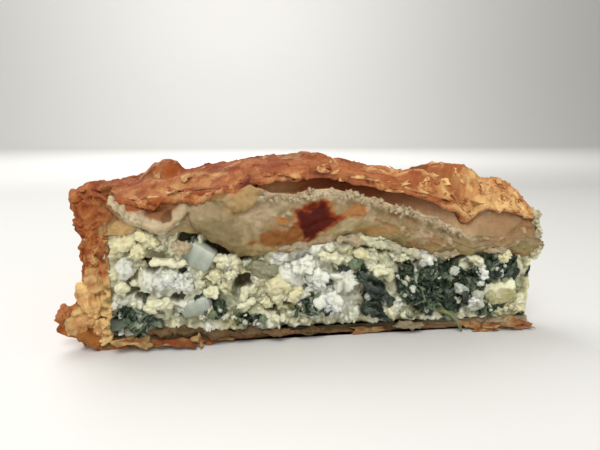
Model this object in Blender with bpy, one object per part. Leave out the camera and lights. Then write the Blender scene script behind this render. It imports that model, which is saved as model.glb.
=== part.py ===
"""A slice of deep vegetable tart: an eighth of a round puff pastry pie with a lid.

The knife cut faces -Y, the browned rim of the tart is at -X and the middle of the tart is at +X.
The pastry case is one thin base with the rim wall, the pastry lid lies on it, and between them is the filling
of crumbled white cheese. Cooked spinach, onion and firmer lumps of cheese lie in the filling's two cut faces.
Units are metres, +Z is up, and the slice stands on its base at Z = 0.
"""

import math
import random

import bmesh
import bpy
from mathutils import Matrix, Vector, noise

MM = 0.001

# The whole tart and the cut
TART_RADIUS = 117 * MM
SLICE_ANGLE = math.radians(45)
TIP_X = 61 * MM  # the middle of the tart, where both cuts meet
FACE_Y = -41.2 * MM  # the plane of the front cut
TIP_BLUNT = 4 * MM  # the knife leaves the tip this blunt
TIP_ROUND = 0.9 * MM

# The layers, counted up from the plate
BASE_THICK = 2.8 * MM
WALL_THICK = 6.5 * MM
WALL_TOP = 27 * MM
LAYER_GAP = 0.3 * MM  # between two pieces that touch

# The heights along a cut, as (distance from the tip, height) in millimetres
LID_CREST = ((0, 33), (4, 35.5), (9, 38), (16, 39), (23, 41.6), (30, 41.8), (37, 40.6), (46, 41), (57, 42.6),
             (66, 44.2), (76, 43.6), (88, 41.8), (100, 40.2), (112, 39.8), (117, 38.2))
FRONT_EDGE = ((0, 29.8), (6, 30.8), (12, 32.2), (17, 33), (21.5, 31.3), (27, 33.7), (33, 35.8), (41, 37.9),
              (51, 39.8), (56, 41.1), (65, 41.4), (74.5, 40.6), (82, 38.2), (94, 37), (104, 35.4), (109, 35.8),
              (112, 37.9), (117, 38))
FRONT_UNDERSIDE = ((0, 18.8), (8, 20), (16, 21), (24, 20.6), (29, 20.2), (36, 22.4), (46, 25.6), (53, 26.5),
                   (60, 24), (70, 23), (77, 21.8), (80, 22), (85, 25), (90, 28.5), (94, 28.2), (98, 27.3),
                   (104, 28), (110.5, 27.3), (117, 27.3))
BACK_EDGE = ((0, 29.8), (10, 33), (20, 36), (34, 38.5), (50, 39), (66, 41), (80, 38.6), (100, 36.5), (117, 37))
BACK_UNDERSIDE = ((0, 18.8), (14, 21.4), (30, 22.6), (42, 25), (58, 23.2), (70, 26.4), (84, 23.6), (96, 26.2),
                  (104, 27.4), (110.5, 27.3), (117, 27.3))
EDGE_ROLL = (3.5 * MM, 9 * MM)  # how far in from a cut the lid's top is pressed down, at the tip and further out

# Bubbles and humps on the lid: (distance from the tip, share of the slice's angle, radius, height)
LID_BUBBLES = (
    (101 * MM, 0.27, 5.0 * MM, 4.2 * MM),
    (62 * MM, 0.45, 8.0 * MM, 2.0 * MM),
    (24 * MM, 0.62, 7.0 * MM, 1.0 * MM),
    (86 * MM, 0.76, 8.0 * MM, 1.2 * MM),
    (106 * MM, 0.80, 6.0 * MM, 1.5 * MM),
    (78 * MM, 0.24, 6.0 * MM, 1.2 * MM),
)
LID_ROUGHNESS = 0.9 * MM
DOUGH_BULGE = 1.8 * MM  # how far the soft lower half of the lid stands out of a cut

# The opening that baking has left between the lid's brown shell and its soft dough
CRACK_SPAN = (20 * MM, 76 * MM)
CRACK_FLOOR = ((20, 25), (25.5, 27.8), (32.5, 31), (40, 33.5), (48, 35.8), (53, 37.2), (58, 38.2), (62.5, 38),
               (67, 37), (76, 37.5))
CRACK_DEPTH = 10 * MM
SHELL_THICK = 1.3 * MM  # the brown shell over the opening
BACK_CRACK_SPAN = (34 * MM, 62 * MM)
BACK_CRACK_HEIGHT = 33.5 * MM
BACK_CRACK_OPEN = 2.6 * MM

# The slash across the lid, which lets the steam out
SLASH_AT_FRONT = 21.5 * MM
SLASH_LEAN = math.radians(50)
SLASH_WIDE = 4.6 * MM
SLASH_DEEP = 5 * MM
SLASH_LONG = 70 * MM

# The rim, as (height, how far it stands out of the tart's radius), in millimetres
RIM_SHAPE = ((0, -2.5), (3, 0.8), (6, 1.8), (9, 1.8), (12, 0.2), (15, -0.6), (20, -0.9), (27, -0.5), (31, 0.6),
             (35, 1.0), (38, 0.8), (46, -4))
RIM_ROUGHNESS = 1.1 * MM
# Browned flakes that stand off the rim: (share of the slice's angle, height, radius, how far they stand out)
RIM_FLAKES = (
    (0.00, 9 * MM, 4.5 * MM, 4.4 * MM),
    (0.34, 12 * MM, 4.0 * MM, 2.0 * MM),
    (0.62, 7 * MM, 4.5 * MM, 2.2 * MM),
    (0.90, 13 * MM, 4.0 * MM, 1.8 * MM),
)
# How far the base's cut edge stands out of the cut, as (distance from the tip, out), in millimetres
BASE_EDGE = ((0, 0.2), (9, 1.4), (16, -0.6), (35, -1.6), (60, -2.2), (80, -1.4), (92, 0.4), (104, 0.8), (120, 1.6))
TIP_CRUMBS = 3.2 * MM  # how far the lid's crumbs stand out of the tip

# The filling
FILLING_RADIUS = TART_RADIUS - WALL_THICK - LAYER_GAP
FILLING_CELLS = (30, 10, 6)
CELLS_OVER_WALL = 2
HOLLOW_UNDER_LID = (83 * MM, 7 * MM, 4.6 * MM)  # distance from the tip, half width, depth
CURD_COUNT = 38  # lumps of cheese that stand out of each cut, less those that would meet a piece
CURD_RADIUS = (1.7 * MM, 2.9 * MM)
CURD_ROUGHNESS = 0.22
CUT_ROUGHNESS = 0.9 * MM
SEED = 11

# What lies in the cuts: (name, face, distance from the tip, height, (width, depth, height), turn in degrees)
CHUNKS = (
    ("onion_large", "front", 90, 21.6, (8.5, 5, 7.5), -30),
    ("onion_small", "front", 91, 9.6, (7.5, 4, 4.6), 14),
    ("onion_back", "back", 62, 11, (9, 5, 6.5), 24),
    ("cheese_lump", "front", 12.2, 9.8, (9, 6, 7), 8),
    ("cheese_lump_back", "back", 84, 15.5, (9.5, 6, 8), -12),
)
SPINACH_CLUMPS = (
    ("spinach_clump_large", "front", 28.5, 11.7, (20, 8, 12.5), 10),
    ("spinach_clump_upper", "front", 14, 16.8, (9, 5, 4.6), -14),
    ("spinach_clump_small", "front", 61.5, 8.6, (6.5, 4, 4), -8),
    ("spinach_clump_rim", "front", 102, 8.2, (9, 5, 5), 12),
    ("spinach_clump_back", "back", 37, 13.2, (17, 6, 10), -18),
    ("spinach_clump_back_rim", "back", 98, 10.4, (10, 5, 7), 20),
)
SPINACH_LEAVES = (
    ("spinach_leaf_upper", "front", 47.5, 11.4, (11.5, 5, 1.4), -38),
    ("spinach_leaf_lower", "front", 46.5, 5.6, (8.5, 4.4, 1.2), -10),
    ("spinach_leaf_back", "back", 73, 16.6, (12, 5, 1.2), 34),
)
EMBEDDED = CHUNKS + SPINACH_CLUMPS + SPINACH_LEAVES
CHUNK_PROUD = 0.9 * MM  # how far a piece's face stands out of the cut
CLUMP_PROUD = 2.2 * MM
POCKET_GAP = 0.35 * MM
CREASE_ANGLE = math.radians(40)

BROWNED_PASTRY = (0.47, 0.21, 0.06, 1)
CASE_PASTRY = (0.56, 0.33, 0.13, 1)
WHITE_CHEESE = (0.72, 0.70, 0.52, 1)
FIRM_CHEESE = (0.78, 0.76, 0.56, 1)
SOFT_ONION = (0.55, 0.58, 0.44, 1)
COOKED_SPINACH = (0.03, 0.06, 0.03, 1)


def mix(a, b, share):
    return a + (b - a) * share


def smooth(share):
    """An S-curve from 0 to 1."""
    share = min(max(share, 0.0), 1.0)
    return share * share * (3 - 2 * share)


def height_at(outline, distance):
    """The height in metres of an outline given in millimetres, eased from point to point."""
    at = distance / MM
    if at <= outline[0][0]:
        return outline[0][1] * MM
    for (x0, z0), (x1, z1) in zip(outline, outline[1:]):
        if at <= x1:
            return mix(z0, z1, smooth((at - x0) / (x1 - x0))) * MM
    return outline[-1][1] * MM


def in_slice(distance, share, height):
    """The point at a distance from the tip, a share of the angle between the two cuts, and a height."""
    turn = share * SLICE_ANGLE
    return Vector((TIP_X - distance * math.cos(turn), FACE_Y + distance * math.sin(turn), height))


def face_frame(face):
    """(direction away from the tip, direction out of the cut) of the front or the back cut."""
    if face == "front":
        return Vector((-1, 0, 0)), Vector((0, -1, 0))
    away = Vector((-math.cos(SLICE_ANGLE), math.sin(SLICE_ANGLE), 0))
    return away, Vector((math.sin(SLICE_ANGLE), math.cos(SLICE_ANGLE), 0))


def depth_in_slice(distance, share):
    """How far a point lies from the nearer of the two cuts."""
    return distance * math.sin(min(share, 1 - share) * SLICE_ANGLE)


def roughness(point, grain):
    """Smooth noise from -1 to 1 with lumps about as large as the grain."""
    return noise.noise(point / grain)


def material(name, colour, rough):
    made = bpy.data.materials.new(name)
    made.use_nodes = True
    shader = made.node_tree.nodes["Principled BSDF"]
    shader.inputs["Base Color"].default_value = colour
    shader.inputs["Roughness"].default_value = rough
    shader.inputs["Metallic"].default_value = 0.0
    made.diffuse_color = colour
    return made


def sliced_block(cells):
    """A unit cube from the corner (0, 0, 0), with each side cut into that many cells."""
    mesh = bmesh.new()
    bmesh.ops.create_cube(mesh, size=1, matrix=Matrix.Translation((0.5, 0.5, 0.5)))
    for axis, count in enumerate(cells):
        normal = Vector([float(axis == k) for k in range(3)])
        for step in range(1, count):
            geometry = mesh.verts[:] + mesh.edges[:] + mesh.faces[:]
            bmesh.ops.bisect_plane(mesh, geom=geometry, plane_co=normal * step / count, plane_no=normal)
    return mesh


def add_object(name, mesh, collection, finish=None):
    """A named object from a bmesh, with its faces turned outwards."""
    mesh.normal_update()
    bmesh.ops.recalc_face_normals(mesh, faces=mesh.faces)
    data = bpy.data.meshes.new(name)
    mesh.to_mesh(data)
    mesh.free()
    made = bpy.data.objects.new(name, data)
    collection.objects.link(made)
    if finish:
        data.materials.append(finish)
    return made


def shaped_block(name, cells, point_at, collection, finish=None):
    """A block of cells whose corners are moved to where point_at(u, v, w) says."""
    mesh = sliced_block(cells)
    for vertex in mesh.verts:
        vertex.co = point_at(*vertex.co)
    return add_object(name, mesh, collection, finish)


def boolean(target, operation, other, solver="MANIFOLD"):
    """Joins or cuts target by an object or a collection, and applies it."""
    modifier = target.modifiers.new(operation.title(), "BOOLEAN")
    modifier.operation = operation
    modifier.solver = solver
    if isinstance(other, bpy.types.Collection):
        modifier.operand_type = "COLLECTION"
        modifier.collection = other
    else:
        modifier.object = other
    bpy.context.view_layer.update()
    graph = bpy.context.evaluated_depsgraph_get()
    result = bpy.data.meshes.new_from_object(target.evaluated_get(graph))
    target.modifiers.remove(modifier)
    finish = target.data.materials[:]
    target.data = result
    result.materials.clear()
    for kept in finish:
        result.materials.append(kept)


def discard(objects):
    for used in list(objects):
        bpy.data.objects.remove(used)


def knock_off_scraps(target):
    """Keeps the largest body of a mesh and drops loose scraps that a cut has left."""
    mesh = bmesh.new()
    mesh.from_mesh(target.data)
    left, bodies = set(mesh.verts), []
    while left:
        body, edge_of_body = set(), [left.pop()]
        while edge_of_body:
            vertex = edge_of_body.pop()
            body.add(vertex)
            for edge in vertex.link_edges:
                other = edge.other_vert(vertex)
                if other in left:
                    left.remove(other)
                    edge_of_body.append(other)
        bodies.append(body)
    bodies.sort(key=len, reverse=True)
    for body in bodies[1:]:
        bmesh.ops.delete(mesh, geom=list(body), context="VERTS")
    mesh.to_mesh(target.data)
    mesh.free()


# The pastry case

def rim_outside(height, share):
    """The distance from the tip to the outside of the rim, with its crags and flakes."""
    way_round = share * SLICE_ANGLE * TART_RADIUS
    crag = roughness(Vector((way_round, height * 2.2, 7 * MM)), 6.5 * MM)
    reach = TART_RADIUS + height_at(RIM_SHAPE, height) + RIM_ROUGHNESS * crag
    for flake_share, flake_height, radius, stand in RIM_FLAKES:
        aside = (share - flake_share) * SLICE_ANGLE * TART_RADIUS
        away = math.hypot(aside, 1.4 * (height - flake_height)) / radius
        reach += stand * math.exp(-away * away)
    return reach


def case_point(u, v, w):
    """u runs from the tip along the base and, past the corner, up the wall. w runs from inside to outside."""
    base_share = 0.75
    if u <= base_share:
        distance = mix(TIP_BLUNT, TART_RADIUS - WALL_THICK, u / base_share)
        thick = BASE_THICK * (1 + 0.12 * roughness(Vector((distance, v * 60 * MM, 0)), 9 * MM))
        outside = mix(TIP_BLUNT, TART_RADIUS - 3 * MM, u / base_share)
        point = in_slice(mix(distance, outside, w), v, mix(thick, 0, w))
    else:
        up = (u - base_share) / (1 - base_share)
        height = mix(BASE_THICK, WALL_TOP, up)
        outer_height = mix(0, WALL_TOP, smooth(up) ** 0.8)
        inner = TART_RADIUS - WALL_THICK
        outer = rim_outside(outer_height, v)
        point = in_slice(mix(inner, outer, w), v, mix(height, outer_height, w))
    if v in (0, 1):
        out = face_frame("front" if v == 0 else "back")[1]
        low = point.z < WALL_TOP / 4
        edge = height_at(BASE_EDGE, (point - in_slice(0, 0, point.z)).length) if low else 0
        point += out * (edge + CUT_ROUGHNESS * roughness(point, 5 * MM))
    return point


def make_case(collection):
    finish = material("case_pastry", CASE_PASTRY, 0.6)
    return shaped_block("pastry_case", (28, 16, 2), case_point, collection, finish)


# The pastry lid

def lid_underside(distance, share):
    return mix(height_at(FRONT_UNDERSIDE, distance), height_at(BACK_UNDERSIDE, distance), smooth(share))


def lid_top(distance, share):
    """The browned top: a dome with bubbles, pressed down along each cut."""
    height = height_at(LID_CREST, distance)
    here = in_slice(distance, share, 0)
    for bubble_distance, bubble_share, radius, bubble_height in LID_BUBBLES:
        away = (here - in_slice(bubble_distance, bubble_share, 0)).length / radius
        height += bubble_height * math.exp(-away * away * 1.4)
    height += LID_ROUGHNESS * roughness(here, 7 * MM)
    roll = mix(*EDGE_ROLL, smooth(distance / (40 * MM)))
    for outline, edge_share in ((FRONT_EDGE, share), (BACK_EDGE, 1 - share)):
        inward = smooth(distance * math.sin(edge_share * SLICE_ANGLE) / roll)
        height = mix(min(height, height_at(outline, distance)), height, inward)
    return height


def rounded_tip(share):
    """The distance at which a piece's tip ends, rounded between the two cuts."""
    return TIP_BLUNT - TIP_ROUND * (1 - (2 * share - 1) ** 2)


def lid_point(u, v, w):
    """The first cells of u lie over the filling's cells, and the last ones over the wall."""
    over_filling = FILLING_CELLS[0] / (FILLING_CELLS[0] + CELLS_OVER_WALL)
    if u <= over_filling:
        distance = mix(TIP_BLUNT, FILLING_RADIUS, u / over_filling)
    else:
        distance = mix(FILLING_RADIUS, TART_RADIUS, (u - over_filling) / (1 - over_filling))
    height = mix(lid_underside(distance, v), lid_top(distance, v), w)
    if u == 1:
        distance = rim_outside(height, v) - 1.2 * MM * w * w
    elif u == 0:
        distance = rounded_tip(v) - TIP_CRUMBS * math.exp(-(((w - 0.3) / 0.3) ** 2))
    point = in_slice(distance, v, height)
    if v in (0, 1):
        out = face_frame("front" if v == 0 else "back")[1]
        swell = math.sin(math.pi * min(w / 0.7, 1)) * smooth((TART_RADIUS - distance) / (25 * MM))
        point += out * (DOUGH_BULGE * swell + 0.8 * MM * roughness(point, 4.5 * MM))
    return point


def crack_cutter(name, face, span, floor_at, roof_at, collection):
    """A flat lens that opens the lid between two outlines, deepest in its middle."""
    away, out = face_frame(face)
    corner = in_slice(0, 0, 0)

    def crack_point(u, v, w):
        distance = mix(*span, u)
        taper = math.sin(math.pi * mix(0.05, 0.95, u)) ** 0.3
        deep = mix(-4 * MM, CRACK_DEPTH * taper, v)
        middle = (floor_at(distance) + roof_at(distance)) / 2
        half_open = (roof_at(distance) - floor_at(distance)) / 2 * taper * mix(1, 0.35, v)
        lift = mix(0, 1.5 * MM, v)
        return corner + away * distance - out * deep + Vector((0, 0, middle + lift + mix(-1, 1, w) * half_open))

    return shaped_block(name, (14, 3, 1), crack_point, collection)


def slash_cutter(collection):
    """A long box on its edge, which cuts a V across the lid's top."""
    mesh = bmesh.new()
    bmesh.ops.create_cube(mesh, size=1)
    top = height_at(LID_CREST, SLASH_AT_FRONT)
    side = Matrix.Rotation(math.radians(45), 4, "Y")
    size = Matrix.Diagonal((SLASH_WIDE / math.sqrt(2), SLASH_LONG, SLASH_DEEP * math.sqrt(2), 1))
    place = Matrix.Translation(in_slice(SLASH_AT_FRONT, 0, top)) @ Matrix.Rotation(SLASH_LEAN, 4, "Z")
    flatten = Matrix.Diagonal((1, 1, SLASH_DEEP / SLASH_WIDE * 1.6, 1))
    mesh.transform(place @ flatten @ side @ size)
    return add_object("slash_cutter", mesh, collection)


def make_lid(collection, cutters):
    finish = material("browned_pastry", BROWNED_PASTRY, 0.45)
    cells = (FILLING_CELLS[0] + CELLS_OVER_WALL, FILLING_CELLS[1], 5)
    lid = shaped_block("pastry_lid", cells, lid_point, collection, finish)
    cuts = [
        crack_cutter("front_crack", "front", CRACK_SPAN, lambda d: height_at(CRACK_FLOOR, d),
                     lambda d: height_at(FRONT_EDGE, d) - SHELL_THICK, cutters),
        crack_cutter("back_crack", "back", BACK_CRACK_SPAN, lambda d: BACK_CRACK_HEIGHT - BACK_CRACK_OPEN / 2,
                     lambda d: BACK_CRACK_HEIGHT + BACK_CRACK_OPEN / 2, cutters),
        slash_cutter(cutters),
    ]
    for cut in cuts:
        boolean(lid, "DIFFERENCE", cut)
    discard(cuts)
    knock_off_scraps(lid)
    return lid


# The filling

def filling_top(distance, share):
    """Just under the lid, with the hollow at the front cut."""
    middle, half_width, deep = HOLLOW_UNDER_LID
    across = smooth(1 - abs(distance - middle) / half_width)
    inward = smooth(1 - depth_in_slice(distance, share) / (10 * MM)) * (share < 0.5)
    return lid_underside(distance, share) - LAYER_GAP - deep * across * inward


def filling_point(u, v, w):
    distance = mix(TIP_BLUNT, FILLING_RADIUS, u)
    floor = BASE_THICK * 1.12 + LAYER_GAP
    height = mix(floor, filling_top(distance, v), w)
    if u == 0:
        distance = rounded_tip(v)
    point = in_slice(distance, v, height)
    if v in (0, 1):
        out = face_frame("front" if v == 0 else "back")[1]
        rough = CUT_ROUGHNESS * roughness(point, 4 * MM)
        point += out * min(rough, DOUGH_BULGE)
    return point


def curd(name, place, radius, tilt, collection):
    """One uneven lump of cheese."""
    mesh = bmesh.new()
    bmesh.ops.create_icosphere(mesh, subdivisions=2, radius=radius)
    for vertex in mesh.verts:
        vertex.co *= 1 + CURD_ROUGHNESS * noise.noise(vertex.co / radius * 1.3 + place * 900)
    mesh.transform(Matrix.Translation(place) @ Matrix.Rotation(tilt, 4, "Y") @ Matrix.Diagonal((1.25, 0.9, 0.8, 1)))
    return add_object(name, mesh, collection)


def clear_of_pieces(face, distance, height, radius):
    """Whether a lump keeps off the pieces of vegetable and firm cheese in its cut."""
    for name, piece_face, piece_distance, piece_height, (wide, deep, tall), turn in EMBEDDED:
        across = abs(distance - piece_distance * MM) - radius
        above = abs(height - piece_height * MM) - radius
        if piece_face == face and across < wide / 2 * MM and above < tall / 2 * MM:
            return False
    return True


def scatter_curds(collection):
    """Spreads the lumps evenly over both cuts, each in its own stretch of the face."""
    draw = random.Random(SEED)
    for face in ("front", "back"):
        away, out = face_frame(face)
        share = 0 if face == "front" else 1
        for number in range(CURD_COUNT):
            radius = draw.uniform(*CURD_RADIUS)
            low = 8 * MM
            distance = mix(low, FILLING_RADIUS - 6 * MM, (number + draw.random()) / CURD_COUNT)
            room = (BASE_THICK + 1.8 * radius, filling_top(distance, share) - 1.6 * radius)
            row = (number * 0.618) % 1
            height = mix(*room, row)
            place = in_slice(0, 0, height) + away * distance + out * (radius * draw.uniform(-0.35, 0.1))
            tilt = draw.uniform(0, math.pi)
            if clear_of_pieces(face, distance, height, radius):
                curd(f"curd_{face}_{number}", place, radius, tilt, collection)


def make_filling(collection, cutters):
    finish = material("white_cheese", WHITE_CHEESE, 0.55)
    filling = shaped_block("filling", FILLING_CELLS, filling_point, collection, finish)
    curds = bpy.data.collections.new("curds")
    cutters.children.link(curds)
    scatter_curds(curds)
    boolean(filling, "UNION", curds)
    discard(curds.objects)
    bpy.data.collections.remove(curds)
    return filling


# What lies in the filling

def face_matrix(face, distance, height, turn):
    """Where a piece of a cut goes. The piece's own axes are: X away from the tip, Y into the slice, Z up."""
    away, out = face_frame(face)
    up = Vector((0, 0, 1))
    turned = Matrix((away, -out, up)).transposed().to_4x4()
    return Matrix.Translation(in_slice(0, 0, height) + away * distance) @ turned @ Matrix.Rotation(turn, 4, "Y")


def chunk_mesh(size, grown):
    """A cut piece of vegetable or cheese with softened, uneven corners, or the plain box of its pocket."""
    mesh = sliced_block((1, 1, 1) if grown else (3, 3, 3))
    for vertex in mesh.verts:
        spot = vertex.co * 2 - Vector((1, 1, 1))
        softened = 1 if grown else mix(1, 1 / max(spot.length, 1), 0.45)
        uneven = 0 if grown else 0.06 * noise.noise(spot * 1.1 + Vector(size) * 700) - 0.03
        vertex.co = Vector([spot[k] * softened * (size[k] / 2 * (1 + uneven) + grown) for k in range(3)])
    return mesh


def clump_mesh(size, grown):
    """A wad of cooked leaves: a lump whose surface is folded into ridges, or the plain lump of its pocket."""
    mesh = bmesh.new()
    bmesh.ops.create_icosphere(mesh, subdivisions=2 if grown else 3, radius=1)
    for vertex in mesh.verts:
        spot = vertex.co.normalized()
        fold = 0.14 if grown else 0.3 * min(abs(noise.noise(spot * 2.6 + Vector(size) * 500)), 0.5) - 0.08
        vertex.co = Vector([spot[k] * (size[k] / 2 * (1 + fold) + grown) for k in range(3)])
    return mesh


def leaf_mesh(size, grown):
    """A thin wavy strip of leaf, curved along its length, with both faces split alike."""
    long, wide, thick = size
    mesh = sliced_block((8, 2, 1))
    for vertex in mesh.verts:
        along, across, through = vertex.co
        bend = math.sin(math.pi * along) * 0.22 * long
        narrow = math.sin(math.pi * mix(0.12, 0.88, along)) ** 0.5
        wave = 0.35 * MM * math.sin(along * 9 + across * 3)
        x = (along - 0.5) * (long + 2 * grown)
        y = (across - 0.5) * (wide * narrow + 2 * grown)
        z = bend + wave + (through - 0.5) * (thick + 2 * grown)
        vertex.co = Vector((x, y, z))
    return mesh


def place_piece(listed, build, proud, collection, cutters, filling, finish):
    """Makes one piece, which stands that far out of the cut, and its pocket in the filling."""
    name, face, distance, height, size, turn = listed
    size = Vector(size) * MM
    place = face_matrix(face, distance * MM, height * MM, math.radians(turn))
    inward = Matrix.Translation((0, size.y / 2 - proud, 0))
    turn_back = place @ inward
    piece = build(size, 0)
    piece.transform(turn_back)
    made = add_object(name, piece, collection, finish)
    pocket = build(size, POCKET_GAP)
    pocket.transform(turn_back)
    cutter = add_object(name + "_pocket", pocket, cutters)
    boolean(filling, "DIFFERENCE", cutter)
    discard([cutter])
    return made


def make_embedded(collection, cutters, filling):
    onion = material("soft_onion", SOFT_ONION, 0.3)
    cheese = material("firm_cheese", FIRM_CHEESE, 0.5)
    spinach = material("cooked_spinach", COOKED_SPINACH, 0.3)
    for listed in CHUNKS:
        finish = onion if listed[0].startswith("onion") else cheese
        place_piece(listed, chunk_mesh, CHUNK_PROUD, collection, cutters, filling, finish)
    for listed in SPINACH_CLUMPS:
        place_piece(listed, clump_mesh, CLUMP_PROUD, collection, cutters, filling, spinach)
    for listed in SPINACH_LEAVES:
        place_piece(listed, leaf_mesh, CHUNK_PROUD, collection, cutters, filling, spinach)


def main():
    for old in list(bpy.data.objects):
        bpy.data.objects.remove(old)
    parts = bpy.data.collections.new("vegetable_tart_slice")
    cutters = bpy.data.collections.new("cutters")
    bpy.context.scene.collection.children.link(parts)
    bpy.context.scene.collection.children.link(cutters)
    make_case(parts)
    make_lid(parts, cutters)
    filling = make_filling(parts, cutters)
    make_embedded(parts, cutters, filling)
    knock_off_scraps(filling)
    for made in parts.objects:
        made.data.shade_smooth()
        made.data.set_sharp_from_angle(angle=CREASE_ANGLE)


main()
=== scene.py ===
"""The looks of a slice of vegetable tart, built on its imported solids.

Shapes are worked out in millimetres in the solids' own frame, and become metres where a mesh is made.
A place in a cut is given as (distance from the tip along the cut, height). The tip is at +X, where both
cuts meet, the front cut faces -Y, and the browned rim is at -X. A share runs from 0 at the front cut to 1 at
the back.
"""

import itertools
import math

import bmesh
import bpy
import numpy as np
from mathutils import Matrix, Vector, noise as steady_noise


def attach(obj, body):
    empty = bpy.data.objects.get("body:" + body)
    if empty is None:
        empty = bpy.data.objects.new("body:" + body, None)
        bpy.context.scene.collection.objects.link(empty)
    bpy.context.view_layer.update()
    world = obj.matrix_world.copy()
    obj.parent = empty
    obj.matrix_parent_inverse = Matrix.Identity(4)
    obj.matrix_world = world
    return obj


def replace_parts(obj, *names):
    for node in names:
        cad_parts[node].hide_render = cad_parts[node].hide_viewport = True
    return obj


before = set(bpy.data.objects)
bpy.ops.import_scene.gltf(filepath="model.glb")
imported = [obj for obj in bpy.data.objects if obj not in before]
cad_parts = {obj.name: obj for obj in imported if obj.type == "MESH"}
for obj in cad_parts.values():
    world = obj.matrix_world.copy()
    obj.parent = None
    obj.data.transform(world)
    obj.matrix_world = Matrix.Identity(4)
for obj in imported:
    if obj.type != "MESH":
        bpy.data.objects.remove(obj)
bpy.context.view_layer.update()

MM = 0.001
UP = np.array((0, 0, 1))
FULL_TURN = 6.28

# The slice, as in its solids
TART_RADIUS = 117.0
SLICE_ANGLE = math.radians(45)
TIP_X = 61.0
FACE_Y = -41.2
TIP_BLUNT = 4.0
TIP_ROUND = 0.9
TIP_CRUMBS = 3.2
BASE_THICK = 2.8
WALL_THICK = 6.5
WALL_TOP = 27.0
LAYER_GAP = 0.3
FILLING_RADIUS = TART_RADIUS - WALL_THICK - LAYER_GAP
FRONT, BACK = 0, 1
LOWEST = 0.05  # the loose pieces stay above this height
# How many cells or rows the large meshes have along their sides
SHELL_ROWS = (360, 135)
DOUGH_CELLS = (380, 34, 78)
RIM_ROWS = (70, 220)
CASE_CELLS = (330, 110, 22)
FILLING_CELLS = (340, 12, 80)
CHUNK_CELLS = (22, 14, 22)

# Heights along a cut, as (distance from the tip, height)
LID_CREST = ((0, 33), (4, 35.5), (9, 38), (16, 39), (23, 41.6), (30, 41.8), (37, 40.6), (46, 41), (57, 42.6),
             (66, 44.2), (76, 43.6), (88, 41.8), (100, 39.8), (108, 38.2), (114, 38.4), (119, 39.4))
FRONT_EDGE = ((0, 29.8), (6, 30.8), (12, 32.2), (17, 33), (21.5, 31.3), (27, 33.7), (33, 35.8), (41, 37.9),
              (51, 39.8), (56, 41.1), (65, 41.4), (74.5, 40.6), (82, 38.2), (94, 37), (104, 35.4),
              (109, 35.8), (112, 37.9), (117, 39.2))
FRONT_UNDERSIDE = ((0, 18.8), (8, 20), (16, 21), (24, 20.6), (29, 20.2), (36, 22.4), (46, 25.6), (53, 26.5),
                   (60, 24), (70, 23), (77, 21.8), (80, 22), (85, 25), (90, 28.5), (94, 28.2), (98, 27.3),
                   (104, 28), (110.5, 27.3), (117, 27.3))
BACK_EDGE = ((0, 29.8), (10, 33), (20, 36), (34, 38.5), (50, 39), (66, 41), (80, 38.6), (100, 36.5),
             (117, 37))
BACK_UNDERSIDE = ((0, 18.8), (14, 21.4), (30, 22.6), (42, 25), (58, 23.2), (70, 26.4), (84, 23.6),
                  (96, 26.2), (104, 27.4), (110.5, 27.3), (117, 27.3))
EDGE_ROLL = (3.5, 9.0)
# Bubbles on the lid: (distance from the tip, share, radius, height)
LID_BUBBLES = (
    (102.4, 0.27, 5.6, 4.4),
    (62, 0.45, 8.0, 2.0),
    (24, 0.62, 7.0, 1.0),
    (86, 0.76, 8.0, 1.2),
    (106, 0.80, 6.0, 1.5),
    (78, 0.24, 6.0, 1.2),
)
LID_ROUGHNESS = 0.9
DOUGH_BULGE = 1.8
CRACK_SPAN = (20, 76)
CRACK_FLOOR = ((20, 25), (25.5, 27.8), (32.5, 31), (40, 33.5), (48, 35.8), (53, 37.2), (58, 38.2),
               (62.5, 38), (67, 37), (76, 37.5))
CRACK_DEPTH = 10.0
BACK_CRACK_SPAN = (34, 62)
BACK_CRACK_FLOOR = 32.2
SHELL_THICK = 1.3
SLASH_AT_FRONT = 21.5
SLASH_LEAN = math.radians(50)
SLASH_WIDE = 4.6
SLASH_DEEP = 4.0
SLASH_LONG = 35.0
# How far the rim reaches beyond the tart's radius, as (height, reach)
RIM_SHAPE = ((0, -2.5), (3, 0.8), (6, 1.8), (9, 1.8), (12, 0.2), (15, -0.6), (20, -0.9), (27, -0.5),
             (31, 0.6), (35, 1.0), (38, 0.8), (46, -4))
RIM_ROUGHNESS = 1.1
# Flakes that stand off the rim: (share, height, radius, how far they stand out)
RIM_FLAKES = ((0.00, 9, 4.5, 4.4), (0.34, 12, 4.0, 2.0), (0.62, 7, 4.5, 2.2), (0.90, 13, 4.0, 1.8))
# How far the base's edge stands out of the cuts, as (distance from the tip, outward)
BASE_EDGE = ((0, 0.2), (9, 1.4), (16, -0.6), (35, -1.6), (60, -2.2), (80, -1.4), (92, 0.4), (104, 0.8),
             (120, 1.6))


def linear(red, green, blue):
    """A colour as a screen shows it, from 0 to 255, made linear."""
    shown = np.array((red, green, blue)) / 255
    return np.where(shown <= 0.04045, shown / 12.92, ((shown + 0.055) / 1.055) ** 2.4)


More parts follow.
